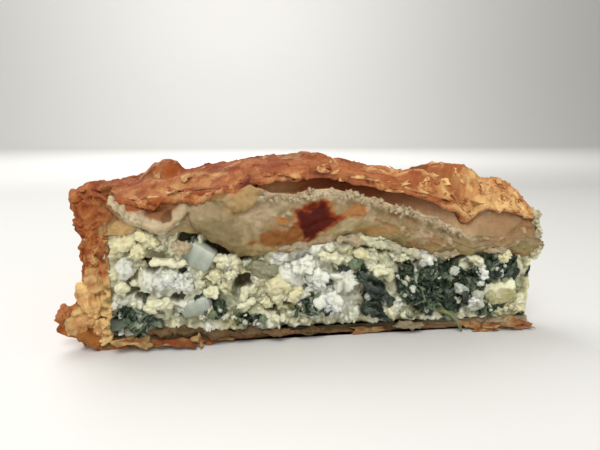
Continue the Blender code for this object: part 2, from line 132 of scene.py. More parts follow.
# Colours
GOLDEN_CRUST = linear(184, 118, 70)
BROWN_CRUST = linear(140, 70, 38)
DARK_CRUST = linear(98, 42, 14)
ORANGE_CRUST = linear(150, 74, 26)
PALE_FLAKE = linear(214, 176, 118)
SOFT_DOUGH = linear(148, 128, 92)
GREY_DOUGH = linear(132, 116, 82)
YELLOW_DOUGH = linear(154, 136, 88)
BURNT_DOUGH = linear(74, 16, 2)
RED_DOUGH = linear(136, 54, 18)
ROSY_DOUGH = linear(170, 148, 118)
AMBER_DOUGH = linear(132, 82, 38)
BASE_DOUGH = linear(100, 76, 50)
RED_BLISTER = linear(84, 22, 10)
SCORCHED_DOUGH = linear(172, 108, 50)
PALE_DOUGH = linear(200, 182, 150)
BAKED_DOUGH = linear(150, 96, 58)
WHITE_CURD = linear(228, 229, 216)
CREAM_CURD = linear(222, 219, 186)
YELLOW_CURD = linear(216, 208, 168)
# An olive painted shade for the creases and recesses of the cheese, and for the shaded sides of the onion
# and the firm cheese
OLIVE_SHADE = linear(140, 132, 84)
HOLLOW_SHADE = linear(72, 62, 24)
DARK_SPINACH = linear(24, 33, 26)
GREEN_SPINACH = linear(56, 74, 48)
MILKY_SPINACH = linear(110, 124, 98)
GREY_LEAF = linear(140, 138, 112)
OLIVE_SPINACH = linear(112, 110, 48)
SHELL_UNDERSIDE = linear(186, 116, 78)
CRACK_WALL_TIP = linear(178, 144, 106)
CRACK_WALL_MIDDLE = linear(186, 112, 72)
CRACK_WALL_END = linear(222, 176, 126)
CLEAR_ONION = linear(158, 166, 152)


# Sums


def mix(a, b, share):
    """The value at a share of the way from a to b."""
    return a + (b - a) * share


def smooth(share):
    """An S-curve from 0 to 1."""
    share = np.clip(share, 0, 1)
    return share * share * (3 - 2 * share)


def ramp(value, start, width):
    """An S-curve from 0 to 1 over a width from a start. It falls where the width is below 0."""
    return smooth((value - start) / width)


def spots(x, y, z):
    """The points with these coordinates."""
    return np.stack(np.broadcast_arrays(x, y, z), -1)


def outline(points, at):
    """The value of an outline at each place, eased from point to point."""
    steps, values = np.array(points, dtype=float).T
    low = np.clip(np.searchsorted(steps, at, side="right") - 1, 0, len(steps) - 2)
    share = (at - steps[low]) / (steps[low + 1] - steps[low])
    return mix(values[low], values[low + 1], smooth(share))


def in_slice(distance, share, height):
    """The points at these distances from the tip, shares of the slice's angle, and heights."""
    turn = share * SLICE_ANGLE
    return spots(TIP_X - distance * np.cos(turn), FACE_Y + distance * np.sin(turn), height)


def grid(rows, columns, low=0):
    """Two grids of evenly spaced numbers up to 1, along the rows and along the columns."""
    return np.meshgrid(np.linspace(low, 1, rows), np.linspace(low, 1, columns), indexing="ij")


def crowded(share):
    """Shares that lie closer together near the cuts."""
    return mix(share, 0.5 - 0.5 * np.cos(math.pi * share), 0.6)


def tip_round(share):
    """How far the blunt tip bulges at a share of the angle."""
    return TIP_ROUND * (1 - (2 * share - 1) ** 2)


def cut_axes(face):
    """(direction away from the tip, direction out of the cut) of a face."""
    turn = face * SLICE_ANGLE
    away = np.array((-math.cos(turn), math.sin(turn), 0))
    out = np.array((0, -1, 0)) if face == FRONT else np.array((math.sin(turn), math.cos(turn), 0))
    return away, out


def on_cut(face, distance, height, outward=0.0):
    """The point at a place in a cut, and this far out of it."""
    away, out = cut_axes(face)
    tip = np.array((TIP_X, FACE_Y, 0))
    return tip + away * distance + out * outward + np.array((0, 0, height))


def lean(turn):
    """The turns about three axes that lean a lump in the cut's plane, up towards the tip, by degrees."""
    return 0, -math.radians(turn), 0


def laid(lump, face, distance, height, outward, side=1):
    """A lump, as (along the cut, out of it, up), at its place in a cut. A side of -1 turns its back out."""
    away, out = cut_axes(face)
    along = lump[:, :1] * away + lump[:, 1:2] * (out * side) + lump[:, 2:3] * UP
    return along + on_cut(face, distance, height, outward)


def lattice(cell, seed):
    """A repeatable number from 0 to 1 for each cell of a grid."""
    mixed = (cell @ np.array((374761393, 668265263, 1440662683)) + seed * 974634777) & 0xFFFFFFFF
    mixed = ((mixed ^ (mixed >> 13)) * 1274126177) & 0xFFFFFFFF
    return ((mixed ^ (mixed >> 16)) & 0xFFFF) / 65535.0


def noise(points, grain, seed=0):
    """Smooth noise from -1 to 1, whose lumps are as large as the grain, which may differ by axis."""
    scaled = points / np.array(grain, dtype=float) + seed * 7.31
    low = np.floor(scaled).astype(np.int64)
    part = smooth(scaled - low)
    total = np.zeros(points.shape[:-1])
    for corner in itertools.product((0, 1), repeat=3):
        weight = np.prod(np.where(corner, part, 1 - part), axis=-1)
        total += weight * lattice(low + np.array(corner), seed)
    return total * 2 - 1


def summed(points, grain, seeds, fade, fold):
    """The mean of ever finer noises, each folded and then weaker than the one before by the fade."""
    grain = np.array(grain, dtype=float)
    total, most = 0, 0
    for octave, seed in enumerate(seeds):
        total = total + fold(noise(points, grain / 2 ** octave, seed)) / fade ** octave
        most += 1 / fade ** octave
    return total / most


def rough(points, grain, octaves=3, seed=0):
    """Noise with finer noise on it."""
    return summed(points, grain, range(seed, seed + 17 * octaves, 17), 1.8, np.positive) * 1.5


def grains(points, size, seed=0):
    """The grain each point lies in: (how far from its middle, its own number)."""
    scaled = points / np.array(size, dtype=float)
    low = np.floor(scaled).astype(np.int64)
    nearest = np.full(points.shape[:-1], 9.0)
    number = np.zeros(points.shape[:-1])
    for step in itertools.product((-1, 0, 1), repeat=3):
        cell = low + np.array(step)
        middle = np.stack([lattice(cell, seed + k) for k in range(3)], -1) * 0.8 + 0.1 + cell
        away = np.linalg.norm(middle - scaled, axis=-1)
        closer = away < nearest
        number = np.where(closer, lattice(cell, seed + 3), number)
        nearest = np.where(closer, away, nearest)
    return nearest, number


def solid_lumps(points, grain):
    """The same slow unevenness as the solids have."""
    flat = points.reshape(-1, 3) / grain
    return np.array([steady_noise.noise(Vector(p)) for p in flat]).reshape(points.shape[:-1])


def layered(value, steps):
    """A value in rounded steps, like stacked sheets of pastry."""
    scaled = value * steps
    low = np.floor(scaled)
    return (low + smooth((scaled - low) * 2.2 - 0.6)) / steps


def billow(points, grain, octaves=3, seed=0):
    """Puffed lumps with sharp creases between them, from about 0 to 1."""
    return 0.1 + summed(points, grain, range(seed, seed + 13 * octaves, 13), 1.6, np.abs) / 0.65


def ridged(points, grain, octaves=3, seed=0):
    """Sharp folds with smooth hollows between them, from about 0 to 1."""
    return 1.1 - billow(points, grain, octaves, seed)


def warped(points, grain, reach, seed=0):
    """The points moved about by noise, so that what is drawn at them bends."""
    return points + reach * np.stack([rough(points, grain, 2, seed + k) for k in range(3)], -1)


def painted(tint, colour, amount):
    """A colour at each point, painted over by another one by an amount from 0 to 1."""
    return tint + (colour - tint) * np.clip(amount, 0, 1)[..., None]


def coated(tint, *coats):
    """A colour at each point under several coats, which are given as (colour, amount)."""
    for colour, amount in coats:
        tint = painted(tint, colour, amount)
    return tint


def in_oval(distance, height, oval, power=2.0):
    """How far a place is from an oval's middle, where 1 is its edge, and how far of that is across it.

    A power of 1 makes a diamond of the oval. A turn above 0 leans it up towards the tip.
    """
    x, z, long, tall, turn = oval
    cos, sin = math.cos(math.radians(turn)), -math.sin(math.radians(turn))
    along = ((distance - x) * cos + (height - z) * sin) / long
    across = ((height - z) * cos - (distance - x) * sin) / tall
    return (np.abs(along) ** power + np.abs(across) ** power) ** (1 / power), across


# Meshes

def block_surface(cells):
    """The surface of a block: its corners, as shares from 0 to 1 along each axis, and its quads."""
    counts = np.array(cells) + 1
    quads = []
    for axis in range(3):
        first, second = [k for k in range(3) if k != axis]
        i, j = np.meshgrid(np.arange(cells[first]), np.arange(cells[second]), indexing="ij")
        for side in (0, 1):
            ring = []
            for di, dj in ((0, 0), (1, 0), (1, 1), (0, 1)):
                place = {axis: side * cells[axis], first: i + di, second: j + dj}
                ring.append((place[0] * counts[1] + place[1]) * counts[2] + place[2])
            outwards = (side == 1) != (axis == 1)
            quads.append(np.stack(ring if outwards else ring[::-1], -1).reshape(-1, 4))
    keys, faces = np.unique(np.concatenate(quads), return_inverse=True)
    corners = np.stack(np.unravel_index(keys, counts), -1)
    return corners / np.array(cells), faces.reshape(-1, 4)


def sheet_solid(upper, lower):
    """The closed solid between two grids of points."""
    rows, columns = upper.shape[:2]
    place = np.arange(rows * columns).reshape(rows, columns)
    top = np.stack((place[:-1, :-1], place[1:, :-1], place[1:, 1:], place[:-1, 1:]), -1).reshape(-1, 4)
    edge = np.concatenate((place[:-1, 0], place[-1, :-1], place[:0:-1, -1], place[0, :0:-1]))
    after = np.roll(edge, -1)
    under = rows * columns
    side = np.stack((edge, edge + under, after + under, after), -1)
    faces = np.concatenate((top, top[:, ::-1] + under, side))
    return np.concatenate((upper.reshape(-1, 3), lower.reshape(-1, 3))), faces


def ball(detail):
    """A round ball of triangles: its corners and its faces."""
    mesh = bmesh.new()
    bmesh.ops.create_icosphere(mesh, subdivisions=detail, radius=1)
    corners = np.array([vertex.co for vertex in mesh.verts])
    faces = np.array([[vertex.index for vertex in face.verts] for face in mesh.faces])
    mesh.free()
    return corners, faces


def tube_solid(path, radii, sides):
    """A thin closed tube along a path of points."""
    path = np.array(path, dtype=float)
    rings = []
    for number, point in enumerate(path):
        before, after = path[max(number - 1, 0)], path[min(number + 1, len(path) - 1)]
        along = (after - before) / np.linalg.norm(after - before)
        aside = np.cross(along, (0.3, 0.5, 0.8))
        aside = aside / np.linalg.norm(aside)
        up = np.cross(along, aside)
        for turn in np.arange(sides) * 2 * math.pi / sides:
            rings.append(point + radii[number] * (aside * math.cos(turn) + up * math.sin(turn)))
    ends = len(rings)
    last = ends - sides
    faces = []
    for side in range(sides):
        after = (side + 1) % sides
        faces.append((ends, after, side, side))
        faces.append((ends + 1, last + side, last + after, last + after))
        for start in range(0, last, sides):
            faces.append((start + side, start + after, start + after + sides, start + side + sides))
    return np.array(rings + [path[0], path[-1]]), np.array(faces)


def outward_faces(corners, faces):
    """The faces of a closed solid as quads, turned outwards. A triangle repeats its last corner."""
    if faces.shape[1] == 3:
        faces = np.concatenate((faces, faces[:, 2:]), axis=1)
    first, second, third, fourth = (corners[faces[:, k]] for k in range(4))
    halves = np.cross(second, third) + np.cross(third, fourth)
    volume = np.einsum("ij,ij->", first, halves)
    return faces if volume > 0 else faces[:, ::-1]


class Heap:
    """Many small solids gathered into one piece."""

    def __init__(self):
        self.corners, self.faces, self.tints, self.count = [], [], [], 0

    def add(self, corners, faces, tints):
        """Adds one closed solid."""
        self.corners.append(corners)
        self.faces.append(outward_faces(corners, faces) + self.count)
        self.tints.append(np.broadcast_to(tints, corners.shape))
        self.count += len(corners)

    def piece(self, name, finish):
        """Makes one piece of all that was added."""
        return add_piece(name, np.concatenate(self.corners), np.concatenate(self.faces),
                         np.concatenate(self.tints), finish)


def put_in_scene(made):
    """Links an object into the scene."""
    bpy.context.scene.collection.objects.link(made)
    return made


def add_piece(name, corners, faces, tints, finish, nodes=()):
    """A piece with a colour at each corner. It takes the place of the nodes."""
    rings = [list(dict.fromkeys(ring)) for ring in outward_faces(corners, faces).tolist()]
    mesh = bpy.data.meshes.new(name)
    mesh.from_pydata((corners * MM).tolist(), [], rings)
    mesh.update()
    colours = np.ones((len(corners), 4), dtype=np.float32)
    colours[:, :3] = tints
    mesh.color_attributes.new("tint", "FLOAT_COLOR", "POINT").data.foreach_set("color", colours.ravel())
    mesh.shade_smooth()
    mesh.materials.append(finish)
    made = put_in_scene(bpy.data.objects.new(name, mesh))
    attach(made, "root")
    if nodes:
        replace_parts(made, *nodes)
    return made


# Materials

def set_inputs(node, values):
    """Sets a node's own inputs by their names."""
    for name, value in values.items():
        node.inputs[name].default_value = value


def food_material(name, roughness, grain, bump, mottle, subsurface, radius, coat=0.0, shine=0.5):
    """A finish that shows each corner's colour, mottled and pitted at its grain's size in millimetres."""
    made = bpy.data.materials.new(name)
    made.use_nodes = True
    nodes, links = made.node_tree.nodes, made.node_tree.links
    shader = nodes["Principled BSDF"]
    set_inputs(shader, {"Specular IOR Level": shine, "Subsurface Weight": subsurface,
                        "Subsurface Radius": radius, "Subsurface Scale": 1.2 * MM})
    if coat:
        set_inputs(shader, {"Coat Weight": coat, "Coat Roughness": 0.25})
    tint = nodes.new("ShaderNodeAttribute")
    tint.attribute_name = "tint"
    place = nodes.new("ShaderNodeTexCoord")

    def pattern(size, detail, low, high):
        """The output of a noise that is spread between two values."""
        texture = nodes.new("ShaderNodeTexNoise")
        set_inputs(texture, {"Scale": 1 / (size * MM), "Detail": detail, "Roughness": 0.62})
        links.new(place.outputs["Object"], texture.inputs["Vector"])
        spread = nodes.new("ShaderNodeMapRange")
        set_inputs(spread, {"From Min": 0.3, "From Max": 0.7, "To Min": low, "To Max": high})
        links.new(texture.outputs["Fac"], spread.inputs["Value"])
        return spread.outputs["Result"]

    scaled = nodes.new("ShaderNodeVectorMath")
    scaled.operation = "SCALE"
    links.new(tint.outputs["Color"], scaled.inputs[0])
    links.new(pattern(grain * 2.5, 5, 1 - mottle, 1 + mottle), scaled.inputs["Scale"])
    links.new(scaled.outputs["Vector"], shader.inputs["Base Color"])
    links.new(pattern(grain * 4, 3, *roughness), shader.inputs["Roughness"])
    relief = nodes.new("ShaderNodeBump")
    set_inputs(relief, {"Strength": bump, "Distance": grain * 0.5 * MM})
    links.new(pattern(grain, 6, 0, 1), relief.inputs["Height"])
    links.new(relief.outputs["Normal"], shader.inputs["Normal"])
    return made


CRUST = food_material("browned_crust", roughness=(0.4, 0.65), grain=0.5, bump=0.6, mottle=0.18,
                      subsurface=0.05, radius=(1.0, 0.5, 0.25), shine=0.1)
DOUGH = food_material("soft_dough", roughness=(0.28, 0.5), grain=0.5, bump=0.5, mottle=0.14,
                      subsurface=0.3, radius=(1.3, 0.8, 0.45), shine=0.12)
CHEESE = food_material("crumbled_cheese", roughness=(0.35, 0.6), grain=0.4, bump=0.4, mottle=0.06,
                       subsurface=0.6, radius=(1.6, 1.5, 1.0), shine=0.35)
SPINACH = food_material("wet_spinach", roughness=(0.18, 0.42), grain=0.4, bump=0.6, mottle=0.25,
                        subsurface=0.05, radius=(0.4, 0.8, 0.3), coat=0.3)
ONION = food_material("soft_onion_flesh", roughness=(0.14, 0.3), grain=0.9, bump=0.25, mottle=0.05,
                      subsurface=0.8, radius=(1.6, 1.6, 1.2), coat=0.25)


# The lid

def depth_in(distance, share):
    """How far inside the nearer cut a place lies."""
    return distance * np.sin(np.minimum(share, 1 - share) * SLICE_ANGLE)


def lid_underside(distance, share):
    """The height of the lid's lower side."""
    return mix(outline(FRONT_UNDERSIDE, distance), outline(BACK_UNDERSIDE, distance), smooth(share))


def away_from(here, distance, share, radius):
    """How many radii the points lie from a place on the lid."""
    return np.linalg.norm(here - in_slice(distance, share, 0.0), axis=-1) / radius


def lid_top(distance, share):
    """The smooth form of the lid's top, as the solid has it."""
    height = outline(LID_CREST, distance)
    here = in_slice(distance, share, 0.0)
    for *bubble, bubble_height in LID_BUBBLES:
        height = height + bubble_height * np.exp(-1.1 * away_from(here, *bubble) ** 3.4)
    height = height + LID_ROUGHNESS * solid_lumps(here, 7.0)
    roll = mix(*EDGE_ROLL, smooth(distance / 40))
    for edge, edge_share in ((FRONT_EDGE, share), (BACK_EDGE, 1 - share)):
        inward = smooth(distance * np.sin(edge_share * SLICE_ANGLE) / roll)
        height = mix(np.minimum(height, outline(edge, distance)), height, inward)
    return height


def slash_distance(here):
    """How far a point lies from the slash's line: (aside, along)."""
    start = in_slice(SLASH_AT_FRONT, 0.0, 0.0)
    along = np.array((-math.sin(SLASH_LEAN), math.cos(SLASH_LEAN), 0))
    aside = np.array((along[1], -along[0], 0))
    return (here - start) @ aside, (here - start) @ along


def slash_relief(here):
    """The groove of the slash: a steep flap on the tip's side, and an easier bank on the other."""
    aside, along = slash_distance(here)
    aside = aside + 0.5 * rough(here, 4, 2, 71)
    across = ramp(aside, -1.4, 1.6) * ramp(aside, SLASH_WIDE * 0.55, -0.9)
    open_share = ramp(along, SLASH_LONG, -6) * ramp(along, -1.5, 5)
    return -mix(SLASH_DEEP, 1.6, smooth(along / 9)) * across * open_share


FLAKE_LAYERS = (
    # (patch size, how much of the crust it covers, thickness)
    (13.0, 0.62, 0.46),
    (8.0, 0.52, 0.42),
    (4.6, 0.42, 0.34),
    (2.4, 0.36, 0.20),
)


def crust_relief(here):
    """The torn layers of browned pastry: (how far they stand up, share of skin that is left, torn edges)."""
    stand, skin, torn = 0, 0, 0
    for number, (size, cover, thick) in enumerate(FLAKE_LAYERS):
        patch = rough(here, size, 5, 31 + number * 7)
        level = 0.35 - cover * 0.7
        kept = smooth((patch - level) / 0.07)
        stand = stand + thick * kept
        skin = skin + kept * (0.4 if number == 0 else 0.2)
        torn = np.maximum(torn, smooth(1 - np.abs(patch - level - 0.03) / 0.06))
    return stand, skin, torn


def crust_tint(here, height_share, skin, torn):
    """The browning: dark where the lid is high, golden below, and pale where the skin is torn off."""
    patches = rough(here, 16, 4, 5)
    fine = rough(here, (3.6, 1.3, 1.3), 4, 9)
    brown = 0.34 + 0.45 * patches + 0.34 * fine + 0.6 * (height_share - 0.5) + 0.5 * (skin - 0.6)
    bare = (0.42 - skin) * 1.3 + torn * 0.45 * (1 - 0.7 * np.clip(brown, 0, 1))
    browning = ((BROWN_CRUST, brown * 1.3), (DARK_CRUST, (brown - 0.72) * 1.7), (PALE_FLAKE, bare))
    return coated(GOLDEN_CRUST, *browning)


DARK_BLISTERS = (
    # (distance, share, radius, colour, strength): blisters that the oven has burnt
    (78.3, 0.012, 3.0, RED_BLISTER, 1.0),
    (60, 0.008, 4.4, RED_BLISTER, 0.9),
    (51, 0.012, 3.4, RED_BLISTER, 0.6),
    (103.4, 0.05, 2.0, DARK_CRUST, 0.8),
    (48, 0.03, 3.0, DARK_CRUST, 0.5),
    (66, 0.40, 7.0, DARK_CRUST, 0.45),
    (34, 0.45, 4.0, DARK_CRUST, 0.55),
    (96, 0.55, 6.0, DARK_CRUST, 0.5),
    (101, 0.22, 6.5, DARK_CRUST, 0.35),
    (52, 0.72, 6.0, DARK_CRUST, 0.5),
    (84, 0.86, 5.0, DARK_CRUST, 0.55),
)


def shell_form(distance, share):
    """The top of the shell with its slash and its lifted flap, but without the flakes."""
    here = in_slice(distance, share, 0.0)
    aside, along = slash_distance(here)
    open_share = ramp(along, SLASH_LONG, -8)
    flap = ramp(aside, SLASH_WIDE * 0.35, 1.5) * ramp(aside, 14, -9) * open_share * ramp(distance, 5, 6)
    bank = smooth(1 - np.abs(aside + 5) / 5) * open_share
    ripples = 0.7 * rough(here, 5, 2, 23)
    return lid_top(distance, share) + slash_relief(here) + flap * (0.3 + ripples) - 0.9 * bank


def make_lid_shell():
    """The brown flaky shell on top of the lid."""
    u, v = grid(*SHELL_ROWS)
    share = crowded(v)
    distance = mix(TIP_BLUNT - tip_round(share), TART_RADIUS + 0.4, u)
    here = in_slice(distance, share, 0.0)
    inward = depth_in(distance, share)
    form = shell_form(distance, share)
    stand, skin, torn = crust_relief(here)
    edge = smooth(1 - inward / 5)
    wrinkles = rough(here, (7.0, 0.9, 0.9), 3, 21)
    top = form + (stand - 0.75) * mix(1.0, 0.7, edge) + 0.30 * wrinkles * mix(0.5, 1, edge)
    top = top + 0.08 * rough(here, 0.9, 2, 25)
    tint = crust_tint(here, np.clip((form - 35) / 10, 0, 1) + 0.9 * ramp(distance, 78, 14), skin, torn)
    ragged = 0.3 * rough(here, 2.2, 3, 55)
    for *blister, colour, strength in DARK_BLISTERS:
        tint = painted(tint, colour, strength * smooth(1.2 - away_from(here, *blister) + ragged))
    aside, along = slash_distance(here)
    in_slash = ramp(along, SLASH_LONG, -6)
    bank = smooth(1 - np.abs(aside + 0.8 + 0.6 * rough(here, 2, 3, 58)) / 1.8)
    groove = ramp(aside, 0.6, 0.8) * ramp(aside, SLASH_WIDE * 0.5, -0.8) * ramp(along, 12, -6)
    torn_side = ramp(aside, 1.5, 1.5) * ramp(aside, 10, -4) * smooth(rough(here, (1.6, 1.6, 1), 4, 57) * 2.5)
    frayed = smooth(1.1 - inward / 2.8 + rough(here, 1.8, 4, 59)) * ramp(distance, 32, -8)
    tint = coated(
        tint,
        (ORANGE_CRUST, ramp(distance, 84, 10) * (0.45 + 0.9 * rough(here, 5, 4, 56))),
        (PALE_FLAKE, 0.95 * bank * in_slash),
        (BAKED_DOUGH, 0.75 * groove * in_slash),
        (PALE_FLAKE, 0.8 * torn_side * in_slash),
        (PALE_FLAKE * 1.1, 0.8 * frayed),
    )
    thick = SHELL_THICK * (0.9 + 0.35 * rough(here, 5, 2, 77))
    hangs = ramp(distance, 80, 8) + 0.6 * ramp(distance, 20, -6)
    hang = hangs * smooth(1 - inward / 1.6) * (0.5 + 2.4 * rough(here, (3.4, 2, 2), 4, 63))
    reach = smooth(1 - inward / 2.5) * (0.4 + 0.9 * rough(here, (2.6, 1, 1), 5, 61) + 0.9 * hangs)
    shift = -np.maximum(hang, 0)[..., None] * UP
    for face, near in ((FRONT, share < 0.5), (BACK, share >= 0.5)):
        shift = shift + cut_axes(face)[1] * (near * reach)[..., None]
    rim = -1.4 * ramp(distance, TART_RADIUS - 1.4, 1.8)[..., None] * UP
    corners, faces = sheet_solid(in_slice(distance, share, top) + shift + rim,
                                 in_slice(distance, share, top - thick) + shift * 0.6 + rim)
    tints = np.concatenate((tint, mix(tint, SHELL_UNDERSIDE, 0.8))).reshape(-1, 3)
    return add_piece("lid_shell", corners, faces, tints, CRUST)


def crack_openness(distance, share):
    """How far the crack under the shell is open above a place: 1 at a cut, where it is widest."""
    deep = np.where(share < 0.5, mix(0.9, CRACK_DEPTH, ramp(distance, 18, 34)), CRACK_DEPTH)
    front = smooth((distance - CRACK_SPAN[0] + 14) / 6) * ramp(distance, CRACK_SPAN[1], -4)
    back = ramp(distance, BACK_CRACK_SPAN[0], 6) * ramp(distance, BACK_CRACK_SPAN[1], -6)
    return np.where(share < 0.5, front, back) * smooth((deep - depth_in(distance, share)) / (0.7 * deep))


def dough_top(distance, share):
    """The top of the soft dough: against the shell, but lower where the crack has opened."""
    closed = ramp(distance, 75.6, 2) * smooth(1 - depth_in(distance, share) / 4) * (share < 0.5)
    against = shell_form(distance, share) - mix(SHELL_THICK + 0.9, 0.6, closed)
    floor = np.where(share < 0.5, outline(CRACK_FLOOR, distance) - 0.4, BACK_CRACK_FLOOR)
    return mix(against, np.minimum(floor, against), crack_openness(distance, share))


DOUGH_SPOTS = (
    # (distance, height, half length, half height, turn, colour, strength) on the front cut
    (88.0, 36.4, 9.0, 1.4, 2, PALE_FLAKE * 0.75, 0.8),
    (79.0, 35.6, 6.0, 2.6, 38, PALE_FLAKE * 0.62, 0.75),
    # A painted shade over the hanging wedge fold
    (85, 27.5, 7.0, 4.6, -40, GREY_DOUGH * 0.8, 0.6),
    (88, 33.6, 5.0, 2.6, -20, ROSY_DOUGH, 0.5),
    (66, 35.0, 5.0, 1.6, -4, ROSY_DOUGH * 1.1, 0.7),
    (74, 33.0, 4.0, 2.4, 20, ROSY_DOUGH, 0.6),
    (69.6, 30.4, 2.4, 0.8, -20, SCORCHED_DOUGH, 0.8),
    (71.0, 26.2, 6.4, 2.0, 8, AMBER_DOUGH, 0.95),
    (66.6, 27.0, 4.0, 2.2, 24, AMBER_DOUGH, 1.0),
    (64.8, 30.6, 2.6, 1.0, -30, SCORCHED_DOUGH, 0.8),
    (61.6, 30.2, 5.2, 3.8, 58, SCORCHED_DOUGH, 0.8),
    (62.0, 30.2, 4.8, 3.9, 60, RED_DOUGH, 1.0),
    (57.8, 29.8, 3.6, 1.3, 20, RED_DOUGH, 0.95),
    (62.2, 29.8, 4.3, 3.3, 58, BURNT_DOUGH, 1.0),
    (58.8, 29.6, 2.8, 1.0, 20, BURNT_DOUGH, 0.9),
    (51.2, 32.2, 3.4, 1.5, 12, SCORCHED_DOUGH, 0.7),
    (47, 27.4, 6.0, 1.0, -6, SCORCHED_DOUGH, 0.45),
    (107.7, 36.0, 3.0, 1.0, 8, ORANGE_CRUST, 0.7),
    (98.8, 33.6, 3.6, 2.0, 10, BAKED_DOUGH * 0.8, 0.9),
    (96.6, 32.2, 1.6, 1.4, 60, BAKED_DOUGH * 0.5, 0.9),
    (108.4, 32.6, 2.6, 3.2, -30, BAKED_DOUGH * 0.9, 0.6),
    (108.0, 28.8, 4.0, 1.8, 10, PALE_FLAKE * 0.9, 0.8),
)
LUMPY_DOUGH = (
    # (distance, height, half length, half height, turn) of the grainy parts of the front cut
    (72.5, 31.0, 7.0, 4.0, -20),
    (62.0, 35.2, 9.0, 1.8, -4),
    (44.0, 31.5, 12.0, 3.0, -26),
    (92.0, 33.0, 4.0, 2.5, 0),
    (14.0, 27.0, 12.0, 4.5, 4),
    (31.0, 27.0, 8.0, 2.6, -30),
)
DOUGH_LOBES = (
    # (distance, height, half length, half height, turn, how far it stands out) on the front cut
    (105.0, 33.0, 6.0, 2.6, -32, 2.4),
    (99.0, 30.6, 4.6, 2.6, 4, 3.2),
    (94.6, 32.4, 3.4, 1.7, 42, 2.6),
    (84.0, 29.2, 9.5, 4.2, -40, 2.6),
    (79.0, 36.4, 6.4, 3.0, 38, 2.2),
)


def dough_lobes(distance, height, place):
    """The folds that hang out of the front cut: (how far they stand out, how near below they lie, where a
    painted shadow goes under them).
    """
    ragged = 0.2 * rough(place, 3.2, 3, 19)
    most, below = np.zeros((2,) + distance.shape)
    for *oval, stand in DOUGH_LOBES:
        away, across = in_oval(distance, height, oval)
        away = away - ragged
        dome = np.sqrt(np.clip(1.08 - away * away, 0, 1))
        most = np.maximum(most, stand * dome * (0.8 - 0.3 * across))
        rim = smooth(1 - np.abs(away - 1.15) / 0.22) * (across < 0)
        below = np.maximum(below, rim * stand / 2.8)
    return most, below * (most < 0.6)


def spotted(tint, distance, height):
    """The dough's colour with ragged spots painted on it: the oven's marks, and a painted shade over the
    hanging wedge fold.
    """
    place = spots(distance, height, 0)
    ragged = rough(warped(place, 3.0, 1.0, 13), 2.6, 4, 12)
    for *oval, colour, strength in DOUGH_SPOTS:
        away = in_oval(distance, height, oval, 1.2)[0] + 0.5 * ragged
        tint = painted(tint, colour, strength * ramp(away, 1.35, -0.5))
    return tint


def rim_form(way_round, height):
    """How far the rim reaches beyond the tart's radius, as in its solid."""
    return outline(RIM_SHAPE, height) + RIM_ROUGHNESS * solid_lumps(spots(way_round, height * 2.2, 7.0), 6.5)


